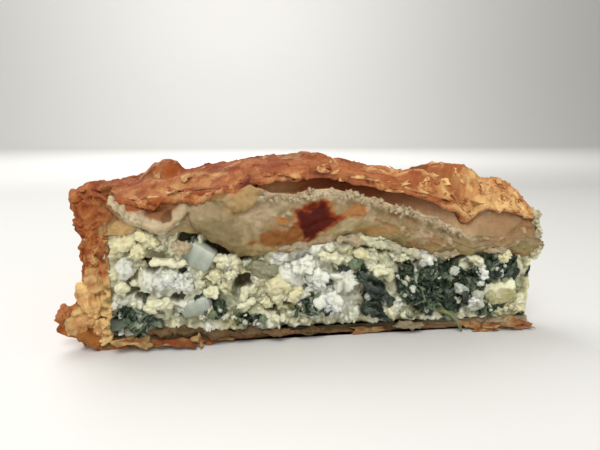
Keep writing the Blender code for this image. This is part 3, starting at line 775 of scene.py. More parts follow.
def make_lid_dough():
    """The soft pale lower half of the lid, which bulges out of the cuts."""
    shares, faces = block_surface(DOUGH_CELLS)
    u, v, w = shares.T
    share = crowded(v)
    distance = mix(TIP_BLUNT, TART_RADIUS - 0.4, u)
    low, high = lid_underside(distance, share), dough_top(distance, share)
    hem = rough(spots(distance, share * 90, 0), 2.6, 3, 29) * smooth(1 - depth_in(distance, share))
    height = mix(low - 0.3 + 0.9 * hem, np.maximum(high, low + 0.5), w)
    torn_tip = TIP_CRUMBS * np.exp(-(((w - 0.3) / 0.3) ** 2))
    torn_tip = torn_tip * (0.6 + 0.5 * rough(shares * (1, 9, 9), 1, 4, 3))
    distance = distance - np.where(u == 0, tip_round(share) + torn_tip, 0)
    way_round = share * SLICE_ANGLE * TART_RADIUS
    layers = rough(spots(way_round, height, 0), (9, 0.9, 9), 3, 15)
    rim_reach = rim_form(way_round, height) + 0.8 * layered(layers, 3) - 1.2 * w * w + 0.4
    distance = distance + np.where(u == 1, rim_reach, 0)
    here = in_slice(distance, share, height)
    level = spots(distance, w * np.maximum(high - low, 1), way_round)
    openness = crack_openness(distance, share)
    seam = smooth(1 - np.abs(w - 0.42 - 0.08 * rough(level, 7, 2, 45)) / 0.07) * ramp(distance, 78, -6)
    ridge = ramp(w, 0.74, 0.14) * (share < 0.5) * openness * ramp(distance, 18, 5)
    in_crack = (w == 1) * smooth(depth_in(distance, share) / 0.9) * (openness > 0.02)
    crack_wall = painted(CRACK_WALL_TIP, CRACK_WALL_MIDDLE, ramp(distance, 26, 26))
    crack_wall = painted(crack_wall, CRACK_WALL_END, ramp(distance, 62, 10))
    tint = coated(
        SOFT_DOUGH,
        (GREY_DOUGH, 0.45 + 1.1 * rough(level, (5, 3.0, 6), 4, 41)),
        (YELLOW_DOUGH, ramp(w, 0.42, -0.3) * 0.75),
        (SCORCHED_DOUGH, seam * 0.35 * ramp(distance, 22, 8)),
        (PALE_DOUGH, smooth(rough(level, (7, 3.5, 6), 3, 49) * 2 - 0.3) * 0.6),
        (ROSY_DOUGH, smooth(rough(level, (4, 3.2, 5), 4, 92) * 2.4) * 0.5),
        (BAKED_DOUGH, smooth(rough(level, (5, 3.0, 6), 4, 93) * 2.4 - 0.8 + 0.6 * w) * 0.45),
        (PALE_DOUGH, ridge * 0.85),
        (crack_wall, in_crack * 0.95),
        (BAKED_DOUGH, ramp(distance, 20, -8) * ramp(w, 0.35, 0.3) * 0.35),
    )
    swell = np.sin(math.pi * np.minimum(w / 0.7, 1)) * ramp(distance, TART_RADIUS, -25)
    shadow_under_lobes, highlight_on_lobes = np.zeros((2,) + height.shape)
    for face in (FRONT, BACK):
        on_face = v == face
        at, up, sheet = distance[on_face], height[on_face], level[on_face]
        spot = spots(at, up, 50.0 * face)
        bends = rough(warped(spot, 6, 2.0, 70), 5.0, 3, 8)
        leaves = 0.35 * layered(rough(warped(sheet, 5, 1.2, 75), (7, 2.6, 5), 3, 18), 3)
        pits = 0.4 * rough(warped(spot, 2, 0.6, 77), 1.6, 4, 22)
        middle, number = grains(warped(spot, 2, 0.5, 79), 1.9, 5)
        lumpy = 0.2 + ridge[on_face]
        for oval in LUMPY_DOUGH if face == FRONT else ():
            lumpy = np.maximum(lumpy, ramp(in_oval(at, up, oval)[0], 1.4, -0.6))
        bead = smooth(1 - middle / 0.75) * (0.3 + number)
        bead_tint = coated(SOFT_DOUGH, (ROSY_DOUGH, number * 2 - 0.6), (PALE_DOUGH, (number > 0.7) * 1.0))
        tint[on_face] = painted(tint[on_face], bead_tint, smooth(bead * 1.6) * lumpy * 0.6)
        stand = DOUGH_BULGE * (swell[on_face] - 0.25) + bends + leaves + pits + 1.3 * bead * lumpy
        stand = stand + 0.5 * (ridge - seam)[on_face]
        if face == FRONT:
            lobes, shadow_under_lobes[on_face] = dough_lobes(at, up, spot)
            stand = stand * 0.7 + lobes
            highlight_on_lobes[on_face] = smooth(lobes / 2)
        here[on_face] += cut_axes(face)[1] * stand[:, None]
    on_front = v < 0.02
    below_top = outline(FRONT_EDGE, distance) - height
    fringe = below_top - ramp(distance, 84, 6) + 1.7 * rough(here, 3.4, 4, 44)
    skin = smooth(1 - fringe / 1.8) * ramp(distance, 72, 8)
    browned = smooth(1.1 - below_top / 4.5 + 0.3 * rough(here, 2.6, 3, 46)) * ramp(distance, 30, -5)
    tint = coated(
        tint,
        # A painted highlight on the folds near the rim, then a painted shadow just under the folds
        (PALE_DOUGH, highlight_on_lobes * ramp(distance, 88, 4) * 0.6),
        (BAKED_DOUGH * 0.7, shadow_under_lobes * 0.35),
        # Painted shade on the dough's underside, which shows only at the back of the hollow under the fold
        (BAKED_DOUGH * 0.8, (w == 0) * 0.6),
        (GOLDEN_CRUST, skin * 0.9),
        (BROWN_CRUST, smooth(skin * 1.5 - 0.6) * 0.8),
        (SCORCHED_DOUGH * 0.8, browned * on_front * 0.75),
    )
    tint = np.where(on_front[:, None], spotted(tint, distance, height), tint)
    outside = smooth((distance - TART_RADIUS + 4.2 + 1.6 * rough(here, 2.4, 3, 65)) / 2.2)
    rim_tint = crust_tint(here, 0.6, 0.6 + 0.3 * layers, 0)
    return add_piece("lid_dough", here, faces, painted(tint, rim_tint, outside), DOUGH,
                     ("pastry_lid",))


FRONT_FOLDS = (
    # (distance, height, half length, half height, turn, colour) of folds that hang out of the front cut
    (107.2, 34.0, 3.2, 1.0, -52, PALE_DOUGH * 0.9),
    (103.6, 31.2, 3.6, 1.2, -40, PALE_DOUGH),
    (99.4, 29.2, 3.0, 1.3, -4, PALE_DOUGH),
    (96.2, 30.2, 2.8, 1.5, 30, CREAM_CURD * 0.8),
    (94.4, 32.0, 1.8, 1.2, 56, PALE_DOUGH),
    (53.0, 25.4, 4.0, 1.2, -4, PALE_DOUGH * 0.75),
    (47.6, 24.4, 3.6, 1.1, -18, CREAM_CURD * 0.8),
    (42.6, 23.2, 3.4, 1.2, -24, CREAM_CURD * 0.6),
    (37.4, 21.6, 3.0, 1.2, -16, CREAM_CURD * 0.7),
    (28.0, 20.8, 3.2, 0.9, 4, PALE_DOUGH * 0.7),
    (67.0, 23.8, 3.6, 1.0, 8, PALE_DOUGH * 0.65),
    (14.0, 21.2, 3.4, 1.0, 0, PALE_DOUGH * 0.7),
    # The folds along the base take dull, dimmed colours, a painted shade at the foot of the cut
    (104.4, 2.0, 3.6, 1.3, -6, PALE_FLAKE * 0.4),
    (99.0, 3.9, 4.2, 1.2, 3, BASE_DOUGH),
    (93.0, 3.7, 4.0, 1.2, -2, BASE_DOUGH * 0.8),
    (86.6, 3.0, 4.4, 1.0, -6, BASE_DOUGH),
    (79.0, 2.3, 4.4, 0.9, 2, BASE_DOUGH),
    (71.4, 2.2, 4.2, 0.9, -3, BASE_DOUGH * 1.3),
    (63.0, 2.1, 4.4, 0.8, 2, BASE_DOUGH * 0.8),
    (37.0, 2.0, 4.4, 0.8, 0, PALE_DOUGH * 0.5),
    (12.6, 2.2, 4.0, 0.9, 3, PALE_DOUGH * 0.6),
)


# (colour, how deep a crease begins, strength) of the painted shade in the creases of the folds and of the
# rim's puffs
FOLD_CREASE_SHADE = (SOFT_DOUGH * 0.8, 0.6, 1.2)
PUFF_CREASE_SHADE = (GOLDEN_CRUST * 0.8, 0.75, 1.4)


def make_tatters(name, rows, seed, detail, thick, grain, outward, crease, finish):
    """Soft folds and tatters in front of the front cut, whose creases are darkened by a painted shade."""
    draw = np.random.default_rng(seed)
    heap = Heap()
    corners, faces = ball(detail)
    crease_shade_colour, level, strength = crease
    for distance, height, long, tall, turn, tint in rows:
        shape, puffs = curd_shape(corners, (long, thick, tall), draw, grain)
        placed = laid(turned(shape, lean(turn)), FRONT, distance, height, outward)
        placed[:, 2] = np.maximum(placed[:, 2], LOWEST)
        heap.add(placed, faces, painted(tint, crease_shade_colour, (level - puffs) * strength))
    return heap.piece(name, finish)


# The pastry case

def make_rim_crust():
    """The rough browned crust of the rim where the front cut crosses it."""
    s, t = grid(*RIM_ROWS)
    crown = 38.4 + 1.6 * np.sin(math.pi * s) + 0.8 * rough(spots(s * 9, 0, 0), 2.0, 3, 100)
    height = mix(5.0, crown, t)
    line = spots(0, height, 0)
    inner = TART_RADIUS - mix(4.6, 8.0, ramp(height, 22, 10)) + 2.0 * rough(line, 3.0, 4, 101)
    outer = TART_RADIUS + outline(RIM_SHAPE, height) + 0.6 + 0.9 * rough(line, 2.2, 4, 102)
    distance = mix(inner, outer, s)
    spot = spots(distance, height, 0)
    bent = warped(spot, 4.0, 1.6, 103)
    sheets = layered(rough(warped(spot, 4.0, 1.6, 105), (1.8, 4.5, 1), 3, 106), 2)
    relief = 2.2 * (billow(bent, 4.6, 3, 104) - 0.55) + 0.9 * sheets
    ends = smooth(np.minimum(s, 1 - s) / 0.16) * smooth(np.minimum(t, 1 - t) / 0.05)
    outward = mix(-1.6, 0.9, ends) + relief * mix(0.3, 1, ends)
    front = on_cut(FRONT, 0, 0) + cut_axes(FRONT)[0] * distance[..., None]
    corners, faces = sheet_solid(front + spots(0, -outward, height), front + spots(0, 3.0, height))
    brown = smooth((height - 13 + 3 * rough(line, 5, 3, 107)) / 7)
    # Darker where the relief lies lower: a painted shade in the recesses, over the crust's own uneven
    # browning
    tone = 0.5 + 0.8 * rough(spot, (2.4, 4.0, 1), 4, 108) - 0.5 * relief
    inner_share = smooth((0.38 - s + 0.35 * rough(spot, 2.8, 4, 109)) / 0.35)
    tint = coated(
        PALE_FLAKE,
        (mix(GOLDEN_CRUST, ORANGE_CRUST, 0.4), mix(0.1, 0.95, brown)),
        (BROWN_CRUST, tone * mix(0.25, 1.1, brown)),
        (DARK_CRUST, (tone - 0.95) * 1.4 * brown),
        (painted(PALE_FLAKE * 1.05, BAKED_DOUGH, ramp(height, 26, 6)), inner_share * 0.85),
    ).reshape(-1, 3)
    return add_piece("rim_crust", corners, faces, np.concatenate((tint, tint)), CRUST)


BASE_SHARE = 0.7  # of the case's rows lie on the base, and the rest on the wall


def make_case():
    """The base and the rim wall, browned outside and pale inside."""
    shares, faces = block_surface(CASE_CELLS)
    u, v, w = shares.T
    share = crowded(v)
    on_base = u <= BASE_SHARE
    up = np.clip((u - BASE_SHARE) / (1 - BASE_SHARE), 0, 1)
    inner_radius = TART_RADIUS - WALL_THICK
    base_distance = mix(TIP_BLUNT, mix(inner_radius, TART_RADIUS - 3, w), u / BASE_SHARE)
    outer_height = mix(0, WALL_TOP + LAYER_GAP, smooth(up) ** 0.8)
    inner_height = mix(BASE_THICK, WALL_TOP + LAYER_GAP, up)
    height = np.where(on_base, mix(BASE_THICK, 0, w), mix(inner_height, outer_height, w))
    way_round = share * SLICE_ANGLE * TART_RADIUS
    reach = TART_RADIUS + rim_form(way_round, outer_height)
    for flake_share, flake_height, radius, stand in RIM_FLAKES:
        aside = (share - flake_share) * SLICE_ANGLE * TART_RADIUS
        away = np.hypot(aside, 1.4 * (outer_height - flake_height)) / radius
        reach = reach + 0.85 * stand * np.exp(-away * away)
    layer_here = spots(way_round, outer_height, 0)
    layers = layered(rough(warped(layer_here, 6, 1.5, 95), (10, 1.8, 9), 4, 15), 3)
    reach = reach + (0.7 * layers + 0.45 * rough(layer_here, 2.2, 4, 16)) * smooth(outer_height / 2)
    distance = np.where(on_base, base_distance, mix(inner_radius, reach, w))
    here = in_slice(distance, share, height)
    flat = spots(distance, height, way_round)
    relief = np.zeros(height.shape)
    for face in (FRONT, BACK):
        on_face = v == face
        edge = np.where(height < WALL_TOP / 4, outline(BASE_EDGE, distance), 0)
        spot = spots(distance, height, face * 30)
        sheets = 1.6 * layered(rough(warped(spot, 4, 1.8, 35), (1.6, 6.0, 1), 4, 33), 3)
        sheets = sheets + 1.5 * (billow(warped(spot, 3, 1.0, 36), 2.6, 4, 37) - 0.5)
        sheets = np.where(on_base, 0.8 * layered(rough(here, (6, 1.0, 0.6), 4, 34), 3), sheets)
        here = here + cut_axes(face)[1] * (on_face * (edge + 0.5 * solid_lumps(here, 5.0) + sheets))[:, None]
        relief = relief + on_face * ~on_base * sheets
    crust = coated(
        crust_tint(here, mix(0.3, 0.75, ramp(height, 10, 16)), 0.6 + 0.4 * layers, 0),
        # Painted shade: darker crust where the sheets lie low
        (DARK_CRUST, smooth(-relief / 0.9 - 0.1) * 0.7),
        (PALE_FLAKE, smooth(relief - 0.7) * 0.55),
    )
    skin_depth = np.where(on_base, 0.4, mix(0.2, 1.05, ramp(height, 8, 9)))
    skin = smooth((w - 1 + skin_depth + 0.34 * rough(flat, (2.2, 4.5, 3), 4, 28)) / 0.3)
    skin = np.maximum(skin, (w == 1) & ~on_base & (depth_in(distance, share) > 1.5))
    # The base takes a darker copy of the dough, a painted shade at the foot, paler towards the tip
    shaded_base_tint = painted(GREY_DOUGH * 0.5, PALE_DOUGH * 0.6, ramp(distance, 34, -12))
    tint = coated(
        SOFT_DOUGH,
        (YELLOW_DOUGH, 0.35 + rough(flat, (2.5, 5, 4), 3, 27)),
        (shaded_base_tint, on_base * 0.9),
        # Painted shade: orange-brown where the sheets lie low
        (SCORCHED_DOUGH, smooth(-relief / 0.9 - 0.2) * 0.8),
        (PALE_FLAKE * 1.15, smooth(relief / 0.9 + 0.25) * 0.8 * ~on_base),
        (crust, skin * np.where(on_base, mix(0.45, 0.9, ramp(distance, 76, 10)), 1.0)),
    )
    return add_piece("case_crust", here, faces, tint, CRUST, ("pastry_case",))


# The filling

FRONT_SPINACH = (
    # (distance, height, half length, half height) on the front cut
    (38.0, 14.5, 2.6, 5.0),
    (28.0, 11.5, 9.0, 8.0),
    (13.5, 15.5, 6.0, 5.0),
    (16.0, 6.0, 5.0, 2.5),
    (107.3, 6.8, 4.6, 2.6),
    (63.0, 8.4, 3.4, 2.0),
    (86.0, 8.4, 2.2, 2.6),
    (51.0, 17.0, 3.0, 3.4),
    (46.2, 10.0, 3.4, 3.4),
    (78.0, 5.8, 4.0, 1.5),
)
PITS = (
    # (distance, height, half length, half height, turn, depth) of dark hollows in the front cut
    (79.4, 15.2, 2.6, 1.5, 30, 4.5),
    (105.6, 14.2, 1.5, 0.8, 10, 1.6),
    (101.5, 20.0, 1.9, 1.2, -20, 3.0),
    (93.8, 18.2, 1.0, 1.6, 0, 3.0),
    (44.6, 22.9, 1.8, 0.9, 20, 3.5),
    (49.5, 23.8, 2.4, 0.9, -15, 2.6),
    (24.6, 19.2, 2.3, 1.8, 0, 4.5),
    (92.0, 26.6, 3.0, 2.2, 35, 6.0),
    (86.2, 23.4, 3.4, 1.4, -35, 5.0),
    (96.0, 11.8, 1.6, 0.8, 20, 3.0),
    (68.5, 9.5, 1.4, 0.7, 30, 3.0),
    (72.6, 8.0, 1.2, 0.8, 0, 2.6),
    (57.5, 14.6, 1.6, 0.7, -30, 2.6),
    (103.5, 12.6, 1.4, 0.7, 0, 2.8),
)
# Round patches of white and yellow cheese on the front cut: (distance, height, radius)
FRONT_WHITE = ((64.2, 18.0, 8.0), (56.5, 10.0, 6.0), (97.3, 15.2, 6.0), (43.3, 6.5, 4.0), (33.4, 19.2, 2.2),
               (18.0, 15.0, 2.0))
FRONT_YELLOW = ((70.4, 13.8, 5.5), (105.8, 26.0, 7.0), (84.0, 18.0, 4.0), (11.8, 19.4, 4.0),
                (12.0, 6.0, 4.0))
RANDOM_ZONES = 11
ZONE_SEED = 23


def back_zones():
    """Patches of spinach, white and yellow cheese on the back cut, spread over it."""
    draw = np.random.default_rng(ZONE_SEED)
    spinach, white, yellow = [], [], []
    for number in range(RANDOM_ZONES):
        distance = mix(12, 104, (number + draw.random()) / RANDOM_ZONES)
        spinach.append((distance, draw.uniform(6, 18), draw.uniform(2.5, 7.5), draw.uniform(2, 5)))
        white.append((mix(8, 108, draw.random()), draw.uniform(6, 20), draw.uniform(4, 8)))
        yellow.append((mix(8, 108, draw.random()), draw.uniform(6, 20), draw.uniform(3, 6)))
    return tuple(spinach), tuple(white), tuple(yellow)


SPINACH_ZONES, WHITE_ZONES, YELLOW_ZONES = zip((FRONT_SPINACH, FRONT_WHITE, FRONT_YELLOW), back_zones())


def spinach_share(face, distance, height):
    """How much of a place in a cut is spinach."""
    share = np.full(np.shape(distance), 0.08)
    for x, z, long, tall in SPINACH_ZONES[face]:
        away = np.hypot((distance - x) / long, (height - z) / tall)
        share = np.maximum(share, 0.8 * ramp(away, 1.35, -0.6))
    return share


def round_zone(zones, distance, height):
    """How far a place lies within round patches, from 0 to 1."""
    most = np.zeros(np.shape(distance))
    for x, z, radius in zones:
        most = np.maximum(most, smooth(1.5 - np.hypot(distance - x, height - z) / radius))
    return most


def curd_colour(face, distance, height, number):
    """The cheese's colour at a place: white, cream or yellow by zone and by the curd's own number."""
    white = round_zone(WHITE_ZONES[face], distance, height)
    yellow = round_zone(YELLOW_ZONES[face], distance, height)
    return coated(
        CREAM_CURD,
        (WHITE_CURD, white * 0.9 + (number > 0.6) * 0.6),
        (YELLOW_CURD, (yellow - white) * 0.7 + (number < 0.15) * 0.5),
    )


def filling_cut(face, distance, height):
    """How far the cut filling stands out behind its loose curds, and its colour."""
    place = spots(distance, height, 40.0 * face)
    bent = warped(place, 4.5, 1.8, 80)
    crumpled = warped(place, 1.8, 0.8, 84)
    number = 0.5 + 0.5 * rough(bent, 4.0, 2, 12)
    stand = 2.2 * (billow(bent, 7.0, 2, 2) - 0.6) + 1.9 * (billow(crumpled, 3.2, 3, 3) - 0.6) - 0.5
    share = spinach_share(face, distance, height)
    is_spinach = smooth((share - 0.5 + 0.5 * rough(crumpled, 3.0, 4, 33)) / 0.1)
    wrinkle = ridged(crumpled, 2.0, 4, 50)
    stand = mix(stand, 1.9 * (wrinkle - 0.62), is_spinach)
    outside_white = 1 - 0.7 * round_zone(WHITE_ZONES[face], distance, height)
    green = coated(
        DARK_SPINACH,
        # Greener on the ridges of the wrinkles and dark between them: painted light and shade
        (GREEN_SPINACH, (wrinkle - 0.55) * 2.4),
        (MILKY_SPINACH, smooth((rough(crumpled, 2.2, 4, 52) - 0.2) / 0.3) * 0.75),
    )
    tint = coated(
        curd_colour(face, distance, height, number),
        # Painted shade: olive in the recesses of the cut, weaker in the white patches
        (OLIVE_SHADE, (0.1 + ramp(stand, 0.2, -1.8) * 0.6) * outside_white),
        (MILKY_SPINACH, smooth(rough(bent, 4.4, 3, 66) * 2.6 - 0.6) * 0.7 * outside_white),
        (HOLLOW_SHADE * 1.3, ramp(stand, -1.2, -1.2) * 0.5 * outside_white),
        (green, is_spinach),
    )
    ragged = 0.6 * rough(crumpled, 1.8, 4, 90)
    for *oval, deep in PITS if face == FRONT else ():
        hollow = ramp(in_oval(distance, height, oval)[0] + ragged, 1.25, -0.5)
        stand = stand - deep * hollow
        tint = painted(tint, HOLLOW_SHADE, hollow * 0.85)
    return stand, tint


FILLING_HOLLOW = (83, 7, 4.6)  # under the lid's fold: distance, half width, depth


def make_filling():
    """The body of the filling, with its uneven cuts."""
    shares, faces = block_surface(FILLING_CELLS)
    u, v, w = shares.T
    distance = mix(TIP_BLUNT, FILLING_RADIUS + LAYER_GAP, u)
    distance = distance - np.where(u == 0, tip_round(v) * 0.5, 0)
    hollow_distance, half_wide, hollow_deep = FILLING_HOLLOW
    hollow = smooth(1 - np.abs(distance - hollow_distance) / half_wide) * (v < 0.5)
    hollow = hollow * smooth(1 - depth_in(distance, v) / 10)
    top = lid_underside(distance, v) - 0.1 - hollow_deep * hollow
    height = mix(BASE_THICK, top, w)
    over_wall = ramp(u, 0.96, 0.04) * (1.0 + 1.8 * rough(spots(height, 0, v), 5, 3, 88))
    on_cut_side = (v == 0) | (v == 1)
    here = in_slice(distance + over_wall * on_cut_side, v, height)
    tint = np.broadcast_to(CREAM_CURD, here.shape).copy()
    for face in (FRONT, BACK):
        on_face = v == face
        stand, cut_tint = filling_cut(face, distance[on_face], height[on_face])
        held = smooth(np.minimum(w, 1 - w)[on_face] / 0.05)
        stand = mix(np.minimum(stand, 0.3), stand, held)
        here[on_face] = here[on_face] + cut_axes(face)[1] * stand[:, None]
        tint[on_face] = cut_tint
    tint = painted(tint, HOLLOW_SHADE, (w == 1) * smooth(hollow * 4) * 0.9)
    at_tip = u == 0
    place = here[at_tip]
    here[at_tip] = place + np.array((1, 0, 0)) * (0.9 * rough(place, 2.4, 3, 6))[:, None]
    tip_tint = curd_colour(FRONT, distance[at_tip], height[at_tip], noise(place, 2, 4))
    tint[at_tip] = painted(tip_tint, DARK_SPINACH, smooth(rough(place, 3, 2, 14) * 3))
    return add_piece("filling_core", here, faces, tint, CHEESE, ("filling",))


def turned(points, turn):
    """Points turned about three axes by these angles."""
    for axis, angle in enumerate(turn):
        first, second = [k for k in range(3) if k != axis]
        cos, sin = math.cos(angle), math.sin(angle)
        turned_points = points.copy()
        turned_points[..., first] = cos * points[..., first] - sin * points[..., second]
        turned_points[..., second] = sin * points[..., first] + cos * points[..., second]
        points = turned_points
    return points


SMALL_CURDS = 270  # on each cut
LARGE_CURDS = 105
CURDS_ON_SPINACH = 4  # on each patch of it
CURD_SEED = 5
SPECKLE_SEED = 15
FRONT_CURDS = (
    # (distance, height, half length, half height, turn, colour) of the lumps that show on the front cut
    (106.6, 25.8, 2.8, 2.2, 0, YELLOW_CURD),
    (104.0, 23.6, 3.0, 2.0, 20, YELLOW_CURD),
    (107.2, 20.0, 1.9, 2.6, 12, WHITE_CURD * 0.85),
    (108.2, 15.4, 1.7, 2.2, 0, CREAM_CURD),
    (93.6, 24.6, 2.4, 1.7, 10, PALE_DOUGH * 0.75),
    (101.4, 26.6, 3.0, 1.8, -30, YELLOW_CURD),
    (99.4, 24.6, 2.2, 1.3, -12, CREAM_CURD * 0.8),
    (96.6, 20.8, 4.6, 1.1, -6, CREAM_CURD),
    (98.4, 16.0, 2.8, 1.7, 10, WHITE_CURD * 0.85),
    (93.4, 15.2, 2.2, 1.5, 0, WHITE_CURD * 0.9),
    (99.6, 10.6, 3.8, 1.3, 12, CREAM_CURD),
    (84.0, 21.0, 2.2, 1.8, 0, CREAM_CURD),
    (82.4, 17.6, 1.8, 1.6, 0, CREAM_CURD),
    (74.6, 18.4, 4.2, 1.5, -14, GREY_LEAF),
    (87.0, 13.0, 2.2, 1.5, 20, CREAM_CURD),
    (79.2, 9.8, 2.6, 1.7, 0, CREAM_CURD),
    (70.8, 14.2, 3.8, 2.2, -24, YELLOW_CURD),
    (66.8, 11.6, 2.2, 1.6, 40, YELLOW_CURD),
    (64.6, 19.0, 3.4, 2.8, 0, WHITE_CURD),
    (60.6, 15.4, 2.8, 2.4, 0, WHITE_CURD),
    (57.4, 21.0, 3.4, 1.7, -8, CREAM_CURD),
    (56.8, 9.4, 3.0, 2.9, 0, WHITE_CURD),
    (50.0, 21.4, 4.0, 1.5, -14, YELLOW_CURD),
    (45.4, 17.6, 2.8, 1.7, -20, CREAM_CURD),
    (42.6, 6.2, 2.4, 2.6, 30, CREAM_CURD),
    (39.8, 20.6, 2.2, 1.5, 0, CREAM_CURD),
    (33.4, 19.4, 1.7, 1.6, 20, WHITE_CURD),
    (17.8, 15.2, 1.5, 2.6, 26, WHITE_CURD),
    (19.8, 8.4, 2.0, 1.1, 0, WHITE_CURD),
    (6.8, 5.8, 2.2, 1.9, 0, YELLOW_CURD),
    (12.2, 19.6, 2.4, 1.5, 0, YELLOW_CURD),
    (19.6, 18.8, 2.2, 1.6, 0, CREAM_CURD),
)


def curd_shape(corners, size, draw, grain=0.95):
    """A ragged puffed lump of these half sizes, and how deep each corner lies in its creases."""
    form = corners * size
    middle = np.cbrt(np.prod(size))
    place = form / middle + draw.uniform(0, 90, 3)
    puffs = billow(warped(place, 0.9, 0.3), grain, 3, 3)
    outward = corners / size
    outward = outward / np.linalg.norm(outward, axis=1)[:, None]
    swell = 0.75 * (puffs - 0.55) + 0.34 * noise(place, 1.2, 9) - 0.14
    return form + outward * (middle * swell)[:, None], puffs


def put_curd(heap, face, ball_shape, spot, size, turn, tint, draw, grain=0.95):
    """Adds a lump of cheese at (distance, height, outward), with an olive painted shade in its creases."""
    corners, faces = ball_shape
    shape, puffs = curd_shape(corners, np.array(size), draw, grain)
    crease_shade = np.clip((0.42 - puffs) * 1.8, 0, 0.5)
    heap.add(laid(turned(shape, turn), face, *spot), faces, painted(tint, OLIVE_SHADE, crease_shade))


def make_curds(face, name):
    """The lumps of cheese that stand out of a cut: large ones, those that show most, and small ones."""
    draw = np.random.default_rng(CURD_SEED + face)
    heap = Heap()
    named, pits = (FRONT_CURDS, PITS) if face == FRONT else ((), ())
    free_of = [(*oval[:2], 0.8 * oval[2]) for oval in pits]
    fine_ball = ball(4)
    for distance, height, long, tall, turn, tint in named:
        size, grain = (long, 2.2, tall), 0.5 + 0.1 * long
        put_curd(heap, face, fine_ball, (distance, height, 0.5), size, lean(turn), tint, draw, grain)
    sorts = ((LARGE_CURDS, fine_ball, (1.3, 2.7)), (SMALL_CURDS, ball(3), (0.5, 1.1)))
    for count, ball_shape, sizes in sorts:
        distances = mix(6, FILLING_RADIUS + 0.5, (np.arange(count) + draw.random(count)) / count)
        tops = lid_underside(distances, face)
        radii = mix(*sizes, draw.random(count) ** 1.6)
        heights = mix(BASE_THICK + 0.5 * radii, tops - 0.5 * radii, draw.random(count))
        stands, under = filling_cut(face, distances, heights)
        spinach = spinach_share(face, distances, heights)
        for number, (distance, height, radius) in enumerate(zip(distances, heights, radii)):
            keep, tone, milk = draw.random(3)
            turn, squeeze = draw.uniform(0, FULL_TURN, 3), draw.uniform(0.6, 1.35, 3)
            lift = draw.uniform(-0.5, 0.1)
            if any(math.hypot(distance - x, height - z) < reach + 0.5 * radius for x, z, reach in free_of):
                continue
            wet = spinach[number] > 0.45
            if wet and (count == LARGE_CURDS or keep < 0.4):
                continue
            outward = np.clip(stands[number], -1.6, 0.8) + radius * lift
            # Off the spinach, a curd takes some of the cut's colour under it, and with it the cut's painted
            # shade
            stain, stained = (MILKY_SPINACH, 0.6 * milk) if wet else (under[number], 0.15 + 0.25 * milk)
            tint = mix(curd_colour(face, distance, height, tone), stain, stained)
            put_curd(heap, face, ball_shape, (distance, height, outward), squeeze * radius, turn, tint, draw)
    return heap.piece(name, CHEESE)


def make_speckles(face, name):
    """Bits of cheese on the spinach, most of them stained by it."""
    draw = np.random.default_rng(SPECKLE_SEED + face)
    heap = Heap()
    ball_shape = ball(3)
    for x, z, long, tall in SPINACH_ZONES[face]:
        for _ in range(int(CURDS_ON_SPINACH * math.sqrt(long * tall) / 1.6)):
            angle, reach = draw.uniform(0, FULL_TURN), math.sqrt(draw.random())
            distance, height = x + long * reach * math.cos(angle), z + tall * reach * math.sin(angle)
            radius = mix(0.35, 1.7, draw.random() ** 3)
            stain = smooth(draw.uniform(0.1, 1.4))
            tint = mix(WHITE_CURD, MILKY_SPINACH, stain)
            spot = (distance, max(height, BASE_THICK + 1), draw.uniform(1.0, 1.7))
            size = draw.uniform(0.4, 1.7, 3) * radius * (1 - 0.35 * stain)
            put_curd(heap, face, ball_shape, spot, size, draw.uniform(0, FULL_TURN, 3), tint, draw, 0.7)
    return heap.piece(name, CHEESE)


# Spinach

def leaf_solid(size, draw, curl=1.0, rows=18, columns=12, thick=0.18):
    """A crumpled piece of leaf in its own frame: its closed solid and how folded each corner is."""
    long, wide = size
    s, t = grid(rows, columns, -1)
    phase = draw.uniform(0, FULL_TURN, 4)
    edge = 1 - 0.35 * np.abs(s) ** 2 + 0.15 * np.sin(5 * s + phase[3])
    fold = np.sin(3.4 * s + phase[0]) * 0.22 + np.sin(5.4 * t + phase[1]) * 0.2
    fold = fold + np.sin(4.5 * (s + t) + phase[2]) * 0.16
    surface = spots(s * long * 0.5, t * wide * 0.5 * edge, (fold + curl * s * s * 0.5) * wide * 0.8)
    crumple = [rough(surface + phase[0], wide * 0.4, 2, 60 + k) for k in range(3)]
    surface = surface + 0.16 * wide * np.stack(crumple, -1)
    corners, faces = sheet_solid(surface + UP * thick / 2, surface - UP * thick / 2)
    return corners, faces, np.tile(fold.ravel(), 2)


def leaf_tint(crease, tone):
    """The colour of a leaf: lighter where its folds rise, a painted light, and by the leaf's own tone."""
    tint = painted(DARK_SPINACH, GREEN_SPINACH, 0.1 + crease * 1.6 + tone * 0.5)
    return painted(tint, MILKY_SPINACH * 1.2, (tone - 0.45) * 1.8 + crease * 0.6)


def wad(heap, face, distance, height, size, turn, draw, leaves):
    """A wad of cooked leaves: a wrinkled core and leaves folded round it."""
    corners, faces = ball(5)
    long, tall, deep = size
    base = corners * np.array((long, deep, tall)) / 2
    wrinkle = ridged(warped(base + distance, 3.0, 1.1, 54), 2.3, 4, 57)
    lump = turned(base + corners * (2.6 * (wrinkle - 0.72))[:, None], lean(turn))
    patches = rough(base + distance, 3.0, 3, 59)
    # Greener on the ridges of the wrinkles and dark between them: painted light and shade
    tint = painted(DARK_SPINACH, GREEN_SPINACH, (wrinkle - 0.5) * 2)
    tint = painted(tint, MILKY_SPINACH * 1.4, ramp(patches, 0.12, 0.25) * 0.75)
    heap.add(laid(lump, face, distance, height, 1.0 - deep / 2, -1), faces, tint)
    for _ in range(leaves):
        angle = draw.uniform(0, FULL_TURN)
        reach = math.sqrt(draw.uniform(0.0, 0.95))
        x = distance + math.cos(angle) * long / 2 * reach
        z = height + math.sin(angle) * tall / 2 * reach
        leaf_long = draw.uniform(2.8, 7.0)
        leaf, leaf_faces, crease = leaf_solid((leaf_long, leaf_long * draw.uniform(0.4, 0.7)), draw)
        leaf = turned(leaf, draw.uniform(0, FULL_TURN, 3))
        spot = on_cut(face, x, z, draw.uniform(-0.2, 0.9) * (1 - 0.5 * reach))
        heap.add(leaf + spot, leaf_faces, leaf_tint(crease, draw.random()))


